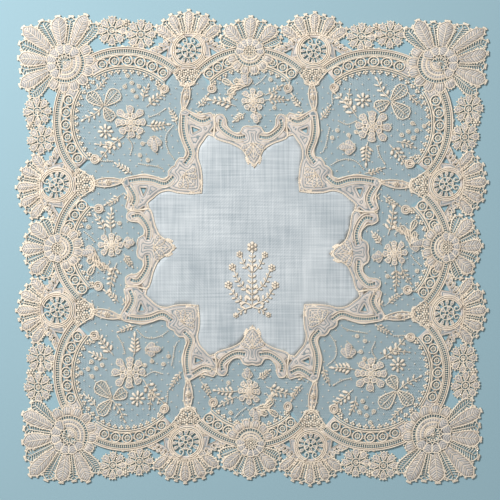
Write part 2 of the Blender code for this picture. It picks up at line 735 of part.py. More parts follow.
def rim_loops(triangles, corners):
    """Closed outlines of a patch of triangles, outer and inner ones."""
    following = dict(rim_edges(triangles))
    loops = []
    while following:
        start, here = next(iter(following.items()))
        del following[start]
        chain = [start]
        while here != start:
            chain.append(here)
            here = following.pop(here)
        loops.append(corners[chain])
    return loops


def thinned(loop, tolerance):
    """A closed outline without the points that hardly change its shape."""
    far = int(np.argmax(((loop - loop[0]) ** 2).sum(axis=1)))
    halves = (np.arange(0, far + 1), np.append(np.arange(far, len(loop)), 0))

    def keep(indices):
        if len(indices) < 3:
            return [indices[0]]
        first, last = loop[indices[0]], loop[indices[-1]]
        chord = last - first
        length = max(float(np.linalg.norm(chord)), 1e-9)
        offset = loop[indices[1:-1]] - first
        distance = np.abs(chord[0] * offset[:, 1] - chord[1] * offset[:, 0]) / length
        worst = int(np.argmax(distance))
        if distance[worst] < tolerance:
            return [indices[0]]
        return keep(indices[:worst + 2]) + keep(indices[worst + 1:])

    return loop[keep(halves[0]) + keep(halves[1])]


def distance_to(points, path, closed):
    """Distance from each point to a polygon or an open line."""
    ends = np.roll(path, -1, axis=0) if closed else path[1:]
    starts = path if closed else path[:-1]
    best = np.full(len(points), np.inf)
    for first, second in zip(starts, ends):
        along = second - first
        share = ((points - first) @ along) / max(float(along @ along), 1e-12)
        nearest = first + np.clip(share, 0.0, 1.0)[:, None] * along
        best = np.minimum(best, np.linalg.norm(points - nearest, axis=1))
    return best


def top_height(points, thick, reliefs):
    """Height of the top face: each relief rises like a tent from its outline to its ridge."""
    height = np.full(len(points), thick)
    for relief in reliefs:
        rim = distance_to(points, relief.outline, True)
        ridge = distance_to(points, relief.ridge, False)
        within = inside(points, relief.outline) & (rim > 1e-3)
        rise = relief.height * rim / np.maximum(rim + ridge, 1e-6)
        height = np.where(within, np.maximum(height, thick + rise), height)
    return height


def solid_from(loops, thick, reliefs):
    """Points and faces of one closed solid with a flat underside and a raised top."""
    near = []
    low = np.min([loop.min(axis=0) for loop in loops], axis=0)
    high = np.max([loop.max(axis=0) for loop in loops], axis=0)
    for relief in reliefs:
        if np.all(relief.outline.max(axis=0) > low) and np.all(relief.outline.min(axis=0) < high):
            near.append(relief)
    corners, triangles = triangulated(list(loops) + [row.outline for row in near],
                                      [row.ridge for row in near])
    middles = corners[triangles].mean(axis=1)
    winding = sum(inside(middles, loop).astype(int) for loop in loops)
    kept = without_pinches(triangles[winding % 2 == 1])
    rims = rim_edges(kept)
    on_rim = sorted({point for edge in rims for point in edge})
    used = sorted({point for row in kept for point in row})
    top_of = {point: index for index, point in enumerate(used)}
    under_of = {point: index + len(used) for index, point in enumerate(on_rim)}
    heights = top_height(corners[used], thick, near)
    points = [(*corners[point], height) for point, height in zip(used, heights)]
    points += [(*corners[point], 0.0) for point in on_rim]
    faces = [tuple(top_of[point] for point in row) for row in kept]
    under, flat = triangulated(rim_loops(kept, corners))
    places = {(round(x, 3), round(y, 3)): point
              for point, (x, y) in ((point, corners[point]) for point in on_rim)}
    back = [places[(round(x, 3), round(y, 3))] for x, y in under]
    flat_middles = under[flat].mean(axis=1)
    counted = sum(inside(flat_middles, loop).astype(int) for loop in rim_loops(kept, corners))
    for row in flat[counted % 2 == 1]:
        faces.append(tuple(under_of[back[point]] for point in reversed(row)))
    for first, second in rims:
        faces.append((top_of[second], top_of[first], under_of[first], under_of[second]))
    return points, faces


def cloth_material(name, colour):
    """A plain matt cloth material."""
    material = bpy.data.materials.new(name)
    material.use_nodes = True
    shader = material.node_tree.nodes["Principled BSDF"]
    shader.inputs["Base Color"].default_value = colour
    shader.inputs["Roughness"].default_value = CLOTH_ROUGHNESS
    shader.inputs["Metallic"].default_value = 0.0
    material.diffuse_color = colour
    return material


def add_object(piece, loops, reliefs):
    """Make one piece's object from its cut outline."""
    points, faces = solid_from(loops, piece.thick, reliefs)
    mesh = bpy.data.meshes.new(piece.name)
    mesh.from_pydata([Vector(point) * MM for point in points], [], faces)
    shape = bmesh.new()
    shape.from_mesh(mesh)
    bmesh.ops.recalc_face_normals(shape, faces=shape.faces)
    bmesh.ops.triangulate(shape, faces=shape.faces)
    shape.to_mesh(mesh)
    shape.free()
    mesh.materials.append(cloth_material(piece.name + "_finish", piece.colour))
    bpy.context.scene.collection.objects.link(bpy.data.objects.new(piece.name, mesh))


def cut_apart(pieces):
    """Cut the overlapping outlines of all the pieces into outlines a small gap apart."""
    loops = []
    for piece in pieces:
        for outline in piece.motif.outlines:
            loops += [outline, grown(outline, GAP)]
        loops += piece.motif.holes
    corners, triangles = triangulated(loops)
    middles = corners[triangles].mean(axis=1)
    taken = np.zeros(len(triangles), dtype=bool)
    for piece in pieces:
        holes = inside_any(middles, piece.motif.holes)
        own = inside_any(middles, piece.motif.outlines) & ~taken & ~holes
        taken |= inside_any(middles, [grown(row, GAP) for row in piece.motif.outlines]) | holes
        kept = without_pinches(triangles[own])
        yield piece, [thinned(loop, OUTLINE_TOLERANCE) for loop in rim_loops(kept, corners)]


def main():
    """Build the handkerchief."""
    for old in list(bpy.data.objects):
        bpy.data.objects.remove(old, do_unlink=True)
    lay = laid_out(LANDMARKS)
    pieces = []
    for piece in all_pieces():
        motif = changed(piece.motif, lay)
        tidy = Motif([anticlockwise(row) for row in motif.outlines],
                     [anticlockwise(row) for row in motif.holes],
                     [Relief(anticlockwise(row.outline), row.ridge, row.height)
                      for row in motif.reliefs])
        pieces.append(piece._replace(motif=tidy))
    everything = np.vstack([row for piece in pieces for row in piece.motif.outlines])
    middle = (everything.min(axis=0) + everything.max(axis=0)) / 2

    def centred(points):
        return points - middle

    pieces = [piece._replace(motif=changed(piece.motif, centred)) for piece in pieces]
    for piece, loops in cut_apart(pieces):
        add_object(piece, loops, piece.motif.reliefs)
    total = sum(len(row.data.polygons) for row in bpy.data.objects)
    print("pieces", len(bpy.data.objects), "triangles", total)


main()
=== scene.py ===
"""Looks of the lace handkerchief: worked thread, closely worked cloth, net and cambric.

Every motif is worked once in millimetres, in the frame of the far side and its left corner, and
copied round the four sides. The copies are then pulled out of true in the same way as the solids,
and each finished piece takes the place of the solid that it covers.
"""
import json
import logging
import math
from dataclasses import dataclass, field
from enum import Enum
from typing import Callable, Iterable, Sequence

import bpy
import numpy as np
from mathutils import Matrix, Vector, geometry

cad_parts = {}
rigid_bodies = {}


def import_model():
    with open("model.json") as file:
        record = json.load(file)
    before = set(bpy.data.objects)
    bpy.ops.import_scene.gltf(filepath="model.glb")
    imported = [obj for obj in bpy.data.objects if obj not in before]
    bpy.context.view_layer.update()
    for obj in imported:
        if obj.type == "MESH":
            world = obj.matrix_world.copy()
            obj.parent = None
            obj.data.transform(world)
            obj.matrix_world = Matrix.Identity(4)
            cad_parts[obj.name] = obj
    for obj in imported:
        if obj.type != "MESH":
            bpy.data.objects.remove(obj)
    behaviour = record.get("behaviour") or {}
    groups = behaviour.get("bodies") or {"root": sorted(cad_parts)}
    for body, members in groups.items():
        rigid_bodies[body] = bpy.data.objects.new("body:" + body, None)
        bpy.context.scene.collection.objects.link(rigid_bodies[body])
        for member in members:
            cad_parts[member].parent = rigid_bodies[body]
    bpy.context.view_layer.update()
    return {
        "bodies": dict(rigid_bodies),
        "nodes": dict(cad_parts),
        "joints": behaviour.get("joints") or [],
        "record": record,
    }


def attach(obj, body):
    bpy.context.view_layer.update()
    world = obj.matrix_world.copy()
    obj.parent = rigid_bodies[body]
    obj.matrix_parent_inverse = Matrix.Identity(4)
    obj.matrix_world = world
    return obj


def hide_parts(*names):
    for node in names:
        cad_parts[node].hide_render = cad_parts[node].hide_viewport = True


LOG = logging.getLogger("handkerchief")
Plane = Callable[[np.ndarray], np.ndarray]

# Driving sizes in millimetres, as in the solids
MM = 0.001
PIXEL_SIZE = 0.85
PHOTO_MIDDLE = (252.0, 249.0)
PANEL_PITCH = 106.2
CORD_RADIUS = 46.8
RING_RADIUS = 53.3
BAND_RADIUS = 61.2
BAND_HALF = 3.2
ROSE_PITCH = 157.2
SIDE_ROSE_OUT = 165.8
MEDALLION_ALONG = 53.5
MEDALLION_OUT = 166.3
DAISY_PLACES = ((-117.3, 184.0), (-93.5, 181.0))
CORNER_CURL = (-73.4, 135.1)
SIDE_CURL = (-32.7, 132.5)
CORNER_ARC_TURNS = (10.0, 88.0)
SIDE_ARC_TURNS = (-7.0, -46.0)
CORNER_RING_TURNS = (23.5, 35.0, 46.5, 58.0, 69.5, 81.0)
SIDE_RING_TURNS = (-21.0, -31.5, -41.5)
SPLINE_SLACK = 150.0

# Thread sizes and heights above the surface
CORD = 0.46
FINE = 0.34
BAR = 0.26
NET_HEIGHT = 0.4
CLOTH_HEIGHT = 0.35
CORD_HEIGHT = 0.95
LOFT = 0.2
LOFT_SCALE = 1.25
NET_CELL = 1.55
NET_THREAD = 0.3

SIDES = ("far", "right", "near", "left")
CORNERS = ("far_left", "far_right", "near_right", "near_left")


class Finish(Enum):
    """The finishes that thread and cloth come in."""

    CORD = "cord"
    TOILE = "toile"
    NET = "net"
    CAMBRIC = "cambric"


@dataclass(frozen=True)
class Landmark:
    """Where a named point of the pattern is seen in the photograph."""

    side: int
    along: float
    out: float
    pixel_x: float
    pixel_y: float


@dataclass(frozen=True)
class Leaf:
    """One leaf of a fan: turn from the outward axis, radii of its foot and tip, and its width."""

    turn: float
    start: float
    reach: float
    width: float
    closed: bool


@dataclass(frozen=True)
class Fern:
    """A stem with leaflets on both sides, from its root to its end."""

    along: float
    out: float
    end_along: float
    end_out: float
    pairs: int
    leaf: float
    bend: float = 0.0


@dataclass(frozen=True)
class Petal:
    """A plump petal or leaf: place of its foot, turn, length and width."""

    along: float
    out: float
    turn: float
    length: float
    width: float


LANDMARKS = (
    Landmark(0, -157.2, 157.2, 64.6, 63.0),
    Landmark(1, -157.2, 157.2, 438.9, 63.8),
    Landmark(2, -157.2, 157.2, 432.6, 434.2),
    Landmark(3, -157.2, 157.2, 69.4, 435.7),
    Landmark(0, 0.0, 165.8, 249.6, 52.0),
    Landmark(1, 0.0, 165.8, 446.1, 247.2),
    Landmark(2, 0.0, 165.8, 251.0, 442.9),
    Landmark(3, 0.0, 165.8, 58.0, 248.3),
    Landmark(0, -53.5, 166.3, 189.0, 50.5),
    Landmark(0, 53.5, 166.3, 313.8, 51.0),
    Landmark(1, -53.5, 166.3, 446.1, 184.0),
    Landmark(1, 53.5, 166.3, 446.9, 313.0),
    Landmark(2, -53.5, 166.3, 310.6, 445.3),
    Landmark(2, 53.5, 166.3, 185.7, 442.0),
    Landmark(3, -53.5, 166.3, 57.4, 309.8),
    Landmark(3, 53.5, 166.3, 56.6, 185.0),
    Landmark(0, -32.7, 132.5, 212.0, 89.0),
    Landmark(0, 32.7, 132.5, 288.0, 88.6),
    Landmark(1, -32.7, 132.5, 405.7, 209.6),
    Landmark(1, 32.7, 132.5, 407.4, 290.0),
    Landmark(2, -32.7, 132.5, 287.8, 406.6),
    Landmark(2, 32.7, 132.5, 213.2, 402.4),
    Landmark(3, -32.7, 132.5, 98.4, 285.8),
    Landmark(3, 32.7, 132.5, 98.9, 208.7),
    Landmark(0, -73.4, 135.1, 164.4, 89.6),
    Landmark(0, 73.4, 135.1, 333.9, 87.9),
    Landmark(1, -73.4, 135.1, 409.9, 163.9),
    Landmark(1, 73.4, 135.1, 410.7, 337.2),
    Landmark(2, -73.4, 135.1, 333.9, 409.0),
    Landmark(2, 73.4, 135.1, 164.4, 409.0),
    Landmark(3, -73.4, 135.1, 94.6, 335.6),
    Landmark(3, 73.4, 135.1, 95.1, 159.0),
    Landmark(0, -57.2, 112.1, 182.2, 110.8),
    Landmark(0, 57.2, 112.1, 315.4, 111.8),
    Landmark(1, -57.2, 112.1, 378.8, 180.5),
    Landmark(1, 57.2, 112.1, 382.7, 318.8),
    Landmark(2, -57.2, 112.1, 316.3, 379.6),
    Landmark(2, 57.2, 112.1, 186.8, 378.3),
    Landmark(3, -57.2, 112.1, 122.5, 318.8),
    Landmark(3, 57.2, 112.1, 124.4, 179.9),
    Landmark(0, -45.7, 45.7, 201.6, 193.0),
    Landmark(1, -45.7, 45.7, 299.5, 191.3),
    Landmark(2, -45.7, 45.7, 304.6, 304.6),
    Landmark(3, -45.7, 45.7, 198.0, 305.5),
    Landmark(0, -191.1, 191.1, 21.7, 26.4),
    Landmark(0, -163.1, 199.3, 57.8, 15.0),
    Landmark(0, -199.3, 163.1, 16.9, 57.8),
    Landmark(0, -138.5, 199.2, 86.7, 13.3),
    Landmark(0, -199.2, 138.5, 18.7, 86.7),
    Landmark(1, -191.1, 191.1, 486.7, 27.8),
    Landmark(1, -163.1, 199.3, 489.1, 52.8),
    Landmark(1, -199.3, 163.1, 447.8, 19.8),
    Landmark(1, -138.5, 199.2, 487.2, 82.8),
    Landmark(1, -199.2, 138.5, 416.7, 18.9),
    Landmark(2, -191.1, 191.1, 475.0, 477.8),
    Landmark(2, -163.1, 199.3, 437.8, 484.1),
    Landmark(2, -199.3, 163.1, 482.2, 439.4),
    Landmark(3, -191.1, 191.1, 28.7, 476.9),
    Landmark(3, -163.1, 199.3, 21.1, 442.2),
    Landmark(3, -199.3, 163.1, 61.1, 483.9),
    Landmark(3, 117.3, 184.0, 37.5, 111.7),
    Landmark(3, 93.5, 181.0, 41.7, 140.0),
    Landmark(0, 0.0, 66.5, 254.3, 167.5),
    Landmark(1, 0.0, 66.5, 330.2, 253.8),
    Landmark(2, 0.0, 66.5, 252.5, 325.7),
    Landmark(3, 0.0, 66.5, 175.7, 247.5),
)

CORNER_FAN = (
    Leaf(0, 12, 46.5, 12.5, True), Leaf(37, 12, 41.0, 12.5, True), Leaf(69, 12, 44.5, 12, True),
    Leaf(18.5, 14, 42, 12.5, False), Leaf(53, 14, 40, 12.5, False), Leaf(85, 14, 43.0, 11, False),
)
SIDE_FAN = (
    Leaf(0, 9, 30.6, 10.5, True), Leaf(23, 9, 29, 11, False), Leaf(44, 9, 30.6, 10.5, True),
    Leaf(64, 9, 28.5, 10, False),
)
MEDALLION_FAN = (
    Leaf(0, 14, 34.6, 7.6, True), Leaf(13.5, 15, 33.2, 7.6, False),
    Leaf(26.5, 15, 34.2, 8, True), Leaf(39.5, 15, 33.6, 8, False), Leaf(52, 14, 34.3, 8, True),
)

# Half width of a leaf along its length, as shares
LEAF_PROFILE = ((0.0, 0.2), (0.2, 0.5), (0.45, 0.82), (0.7, 1.0), (0.88, 0.84), (1.0, 0.0))

# Octant outlines of the tapes between net and lawn, in the far side's frame
SIDE_TAPE = (
    (0.0, 99.5), (-3.4, 100.3), (-8.1, 99.0), (-10.6, 94.8), (-16.2, 94.8), (-21.3, 100.3),
    (-21.8, 105.4), (-24.4, 109.6), (-28.9, 109.2), (-30.9, 107.0), (-31.4, 100.0),
    (-32.9, 91.0), (-27.6, 87.9), (-18.7, 85.4), (-9.9, 80.8), (-5.4, 73.5), (0.0, 66.5),
)
CORNER_TAPE = (
    (-32.7, 91.2), (-31.4, 100.0), (-31.6, 107.0), (-34.0, 110.9), (-37.4, 110.0),
    (-43.0, 108.8), (-48.8, 110.6), (-55.2, 114.0), (-58.6, 111.4), (-60.2, 103.0),
    (-61.6, 95.0), (-59.6, 86.5), (-57.4, 79.0), (-59.2, 73.8), (-63.4, 73.6), (-66.4, 70.6),
    (-67.6, 67.6),
)
LAWN_EDGE = (
    (-32.7, 91.2), (-37.4, 92.4), (-41.7, 87.4), (-45.9, 82.0), (-47.6, 74.0), (-45.8, 66.3),
    (-45.0, 56.1), (-45.7, 45.7),
)
BIG_EYELET = ((-50.6, 98.9), (-50.2, 93.0), (-43.8, 96.2))
SMALL_EYELET = ((-31.6, 99.6), (-35.0, 95.0), (-30.2, 95.4))
SIDE_LADDER = ((-26.0, 105.0), (-26.9, 99.5), (-21.8, 94.2), (-14.1, 90.4), (-6.5, 91.2))
SCROLL_LADDER = ((-52.0, 108.6), (-46.0, 104.8), (-40.8, 103.2), (-34.6, 105.8))
LONG_LADDER = ((-56.2, 108.0), (-57.4, 98.0), (-56.4, 88.0), (-53.2, 77.0), (-58.6, 69.2))
SIDE_NET_INNER = (
    (0.0, 97.0), (-10.0, 90.0), (-22.0, 91.0), (-30.0, 103.0), (-36.0, 105.0), (-45.0, 104.0),
    (-54.5, 110.0), (-54.0, 126.0), (-53.0, 143.0), (-44.0, 150.0),
)
CORNER_NET_INNER = (
    (-64.0, 150.0), (-55.0, 143.0), (-54.5, 126.0), (-54.5, 111.0), (-57.0, 95.0), (-54.0, 80.0), (-60.0, 67.0),
    (-62.0, 62.0),
)

# The rose bouquet of a corner net, from the circle's centre
CORNER_FERNS = (
    Fern(-20.0, 13.6, -37.0, 2.6, 3, 5.6, -1.5), Fern(-3.3, -12.8, -23.4, -31.5, 4, 7.2, 2.0),
    Fern(-10.0, -23.0, -27.0, -20.0, 3, 4.0, 1.0), Fern(0.6, -44.5, -11.5, -36.5, 4, 4.4, 0.6),
    Fern(16.5, -4.0, 33.4, -4.6, 4, 6.4, 0.8), Fern(17.2, 12.8, 33.6, 25.4, 4, 6.6, -1.0),
    Fern(14.4, 18.8, 18.6, 31.5, 3, 4.8, -1.2), Fern(43.5, -5.6, 38.0, 8.4, 4, 4.2, 1.0),
    Fern(-27.0, 27.0, -17.0, 37.0, 3, 4.2, 1.0), Fern(24.5, 33.5, 34.0, 29.0, 3, 4.0, 0.8),
)
CORNER_BEADS = (
    ((0.4, -28.5), (2.8, -20.9), (-1.0, -13.6)), ((19.5, 3.4), (27.0, 5.6), (34.2, 9.8)),
    ((7.2, -36.1), (20.8, -38.3), (27.4, -40.6)),
    ((37.0, -31.5), (34.2, -27.0), (32.4, -19.6), (34.0, -12.6), (40.0, -6.5)),
    ((-15.0, -34.0), (-24.0, -34.0), (-32.0, -28.0)),
)
CORNER_BERRIES = (
    (8.8, -29.2), (11.9, -19.6), (8.8, -13.6), (8.8, 22.4), (5.8, 27.6), (11.1, 31.5),
    (5.0, 34.5), (-1.0, 31.0), (15.4, -33.4), (1.5, 40.5),
)
CORNER_LEAVES = (
    Petal(-20.5, 14.0, -48, 16.5, 10.5), Petal(-19.0, 12.0, 150, 12.5, 10.0),
    Petal(-18.0, 14.6, 42, 17.5, 12.0),
)
CORNER_STAR = (-19.2, -8.8)
CORNER_BUD = Petal(22.5, -13.5, 180, 14.0, 8.6)
CORNER_ROSE = (3.0, -1.0)

# The smaller spray of a side net
SIDE_FERNS = (
    Fern(-12.8, 10.9, -33.0, 16.1, 4, 6.6, 1.0), Fern(-5.1, 5.0, -14.6, -1.6, 4, 4.4, 0.6),
    Fern(12.5, 16.1, 30.5, 16.1, 4, 5.6, -1.0), Fern(12.5, 20.6, 26.0, 28.4, 3, 4.8, 0.8),
    Fern(-23.0, -0.5, -32.5, 1.5, 3, 4.0, 0.6), Fern(36.5, -1.0, 27.5, -2.4, 3, 4.0, -0.6),
    Fern(-44.5, 9.0, -36.5, 20.5, 4, 4.2, 1.0), Fern(44.5, 9.0, 36.5, 20.5, 4, 4.2, -1.0),
    Fern(-46.5, 6.5, -38.0, 0.5, 3, 4.0, 0.8), Fern(46.5, 6.5, 38.0, 0.5, 3, 4.0, -0.8),
)
SIDE_BEADS = (((4.8, 29.8), (9.0, 33.0), (13.6, 38.0)), ((-13.0, 16.6), (-17.0, 20.0), (-21.5, 21.5)))
SIDE_BERRIES = ((-16.7, 19.3), (-19.0, 17.0), (-14.4, 22.4), (20.5, 9.4), (-4.6, 41.2), (17.6, 34.5))
SIDE_LEAVES = (
    Petal(-4.0, 29.4, -102, 13.0, 4.6), Petal(-14.6, 29.6, -62, 10.5, 4.4),
    Petal(-10.6, 28.6, -126, 11.0, 4.2), Petal(-5.5, 32.0, -80, 9.0, 4.0),
)
SIDE_BUDS = (Petal(-3.4, 28.5, -8, 12.5, 9.0), Petal(4.1, 5.6, 180, 9.4, 7.6))
SIDE_ROSE = (2.1, 15.6)


def turned(points: Sequence, degrees: float) -> np.ndarray:
    """Turn points clockwise about the origin.

    Args:
        points: Places in the plane.
        degrees: Angle of the turn.

    Returns:
        The turned places.
    """
    angle = math.radians(degrees)
    cosine, sine = math.cos(angle), math.sin(angle)
    flat = np.asarray(points, dtype=float)
    return np.column_stack((flat[:, 0] * cosine + flat[:, 1] * sine,
                            flat[:, 1] * cosine - flat[:, 0] * sine))


def placed(points: Sequence, at: Sequence = (0.0, 0.0), turn: float = 0.0) -> np.ndarray:
    """Turn points clockwise and then move them."""
    return turned(points, turn) + np.array(at)


def mirrored(points: Sequence) -> np.ndarray:
    """The same points on the other side of the out axis."""
    return np.asarray(points, dtype=float) * (-1.0, 1.0)


def across_corner(points: Sequence) -> np.ndarray:
    """The same points on the other side of the far left corner's diagonal."""
    flat = np.asarray(points, dtype=float)
    return np.column_stack((-flat[:, 1], -flat[:, 0]))


def arc(centre: Sequence, radius: float, start: float, stop: float, count: int) -> np.ndarray:
    """Points on a circle, angles clockwise from the out axis."""
    angles = np.radians(np.linspace(start, stop, count))
    return np.column_stack((np.sin(angles), np.cos(angles))) * radius + np.array(centre)


def circle(centre: Sequence, radius: float, count: int) -> np.ndarray:
    """A closed polygon on a circle."""
    return arc(centre, radius, 0, 360, count + 1)[:-1]


def across(path: np.ndarray) -> np.ndarray:
    """Unit directions across a path at each of its points."""
    along = np.gradient(np.asarray(path, dtype=float), axis=0)
    along /= np.maximum(np.linalg.norm(along, axis=1), 1e-9)[:, None]
    return np.column_stack((along[:, 1], -along[:, 0]))


def band(path: np.ndarray, half: float) -> np.ndarray:
    """A closed strip about a path."""
    line = np.asarray(path, dtype=float)
    offset = across(line) * half
    return np.vstack((line + offset, (line - offset)[::-1]))


def smooth(points: Sequence, step: float, closed: bool = False) -> np.ndarray:
    """A curve through points, with a place about every step of its length.

    Args:
        points: Places that the curve passes through.
        step: Rough distance between the places returned.
        closed: Whether the curve runs back to its start.

    Returns:
        Places on the curve, without a repeated end on a closed one.
    """
    knots = np.asarray(points, dtype=float)
    if closed:
        knots = np.vstack((knots[-1:], knots, knots[:2]))
    else:
        knots = np.vstack((2 * knots[:1] - knots[1:2], knots, 2 * knots[-1:] - knots[-2:-1]))
    rows = []
    for before, first, second, after in zip(knots, knots[1:], knots[2:], knots[3:]):
        count = max(1, int(round(np.linalg.norm(second - first) / step)))
        for share in np.arange(count) / count:
            rows.append(0.5 * (2 * first + (second - before) * share
                               + (2 * before - 5 * first + 4 * second - after) * share ** 2
                               + (3 * first - before - 3 * second + after) * share ** 3))
    if not closed:
        rows.append(knots[-2])
    return np.array(rows)


def evenly(path: np.ndarray, pitch: float) -> np.ndarray:
    """Places at an even pitch along a path, with its ends."""
    line = np.asarray(path, dtype=float)
    reach = np.append(0.0, np.cumsum(np.linalg.norm(np.diff(line, axis=0), axis=1)))
    count = max(2, int(round(reach[-1] / pitch)) + 1)
    marks = np.linspace(0.0, reach[-1], count)
    return np.column_stack([np.interp(marks, reach, line[:, axis]) for axis in (0, 1)])


def inside(points: np.ndarray, outline: np.ndarray) -> np.ndarray:
    """Which points lie inside a closed outline."""
    x, y = points[:, 0], points[:, 1]
    result = np.zeros(len(points), dtype=bool)
    for first, second in zip(outline, np.roll(outline, -1, axis=0)):
        crosses = (first[1] > y) != (second[1] > y)
        if np.any(crosses):
            cut = first[0] + (y - first[1]) * (second[0] - first[0]) / (second[1] - first[1] + 1e-12)
            result ^= crosses & (x < cut)
    return result


def rim_distance(points: np.ndarray, outline: np.ndarray) -> np.ndarray:
    """Distance from each point to a closed outline."""
    best = np.full(len(points), np.inf)
    for first, second in zip(outline, np.roll(outline, -1, axis=0)):
        along = second - first
        share = ((points - first) @ along) / max(float(along @ along), 1e-12)
        nearest = first + np.clip(share, 0.0, 1.0)[:, None] * along
        best = np.minimum(best, np.linalg.norm(points - nearest, axis=1))
    return best


class Work:
    """Points and triangles gathered from many small shapes."""

    def __init__(self) -> None:
        """Start with nothing worked."""
        self.points: list[np.ndarray] = []
        self.faces: list[np.ndarray] = []
        self.count = 0

    def add(self, points: np.ndarray, faces: np.ndarray, grain: np.ndarray = None) -> None:
        """Add a shape's points and triangles, and where each point lies on its stitches."""
        if points.shape[1] == 3:
            run = points[:, :2] if grain is None else grain
            points = np.column_stack((points, run))
        self.points.append(points)
        self.faces.append(np.asarray(faces, dtype=int) + self.count)
        self.count += len(points)

    def joined(self) -> tuple[np.ndarray, np.ndarray]:
        """All points and all triangles as one pair of arrays."""
        if not self.points:
            return np.zeros((0, 5)), np.zeros((0, 3), dtype=int)
        return np.vstack(self.points), np.vstack(self.faces)

    def copied(self, change: Plane, flip: bool) -> "Work":
        """The same work with its plan passed through a function.

        Args:
            change: Function of places in the plane.
            flip: Whether the function mirrors, so that faces keep pointing outwards.

        Returns:
            The changed copy.
        """
        points, faces = self.joined()
        copy = Work()
        if len(points):
            moved = np.column_stack((change(points[:, :2]), points[:, 2:]))
            copy.add(moved, faces[:, ::-1] if flip else faces)
        return copy


def fan_faces(first: Sequence[int], tip: int) -> list:
    """Triangles from a row of points to one tip."""
    return [(one, two, tip) for one, two in zip(first, first[1:])]


def strip_faces(low: Sequence[int], high: Sequence[int]) -> list:
    """Triangles between two rows of the same number of points."""
    faces = []
    for one, two, three, four in zip(low, low[1:], high[1:], high):
        faces += [(one, two, three), (one, three, four)]
    return faces


def tube(path: np.ndarray, radius: float, sides: int, closed: bool) -> tuple:
    """A thread along a path.

    Args:
        path: Places in space, with nearly level runs between them.
        radius: Half the thread's width.
        sides: Number of its flat sides.
        closed: Whether it runs back to its start.

    Returns:
        Points and triangles.
    """
    count = len(path)
    if closed:
        along = np.roll(path, -1, axis=0) - np.roll(path, 1, axis=0)
    else:
        along = np.gradient(path, axis=0)
    along = along[:, :2] / np.maximum(np.linalg.norm(along[:, :2], axis=1), 1e-9)[:, None]
    side = np.column_stack((along[:, 1], -along[:, 0], np.zeros(count)))
    angles = (np.arange(sides) + 0.5) * 2 * math.pi / sides - math.pi / 2
    up = np.array((0.0, 0.0, 1.0))
    ring = side[:, None, :] * np.cos(angles)[None, :, None] + up * np.sin(angles)[None, :, None]
    points = (path[:, None, :] + ring * radius).reshape(-1, 3)
    run = np.append(0.0, np.cumsum(np.linalg.norm(np.diff(path, axis=0), axis=1)))
    points = np.column_stack((points, np.repeat(run, sides), np.tile(np.arange(sides) / sides, count)))
    step = np.arange(count if closed else count - 1)
    low, high = step * sides, (step + 1) % count * sides
    faces = []
    for one in range(sides):
        two = (one + 1) % sides
        faces.append(np.column_stack((low + one, high + one, high + two)))
        faces.append(np.column_stack((low + one, high + two, low + two)))
    if not closed:
        last = (count - 1) * sides
        for one in range(1, sides - 1):
            faces.append(np.array([(0, one, one + 1), (last, last + one + 1, last + one)]))
    return points, np.vstack(faces)


class Patterns:
    """Small shapes modelled once in Blender and copied many times."""

    def __init__(self) -> None:
        """Model the bead and the ring."""
        bpy.ops.object.select_all(action="DESELECT")
        bpy.ops.mesh.primitive_ico_sphere_add(subdivisions=2, radius=1.0)
        bpy.ops.object.mode_set(mode="EDIT")
        bpy.ops.mesh.select_all(action="SELECT")
        bpy.ops.mesh.bisect(plane_co=(0, 0, -0.35), plane_no=(0, 0, 1), clear_inner=True,
                            use_fill=True)
        bpy.ops.mesh.select_all(action="SELECT")
        bpy.ops.mesh.quads_convert_to_tris()
        bpy.ops.mesh.decimate(ratio=0.45)
        bpy.ops.object.mode_set(mode="OBJECT")
        self.bead = self.taken()
        bpy.ops.mesh.primitive_torus_add(major_radius=1.0, minor_radius=0.2, major_segments=14,
                                         minor_segments=5)
        self.ring = self.taken()

    @staticmethod
    def taken() -> tuple[np.ndarray, np.ndarray]:
        """Points and triangles of the active object, which is then removed."""
        shape = bpy.context.object
        shape.data.calc_loop_triangles()
        points = np.array([tuple(row.co) for row in shape.data.vertices])
        faces = np.array([tuple(row.vertices) for row in shape.data.loop_triangles])
        bpy.data.objects.remove(shape, do_unlink=True)
        return points, faces


PATTERNS: dict[str, tuple[np.ndarray, np.ndarray]] = {}


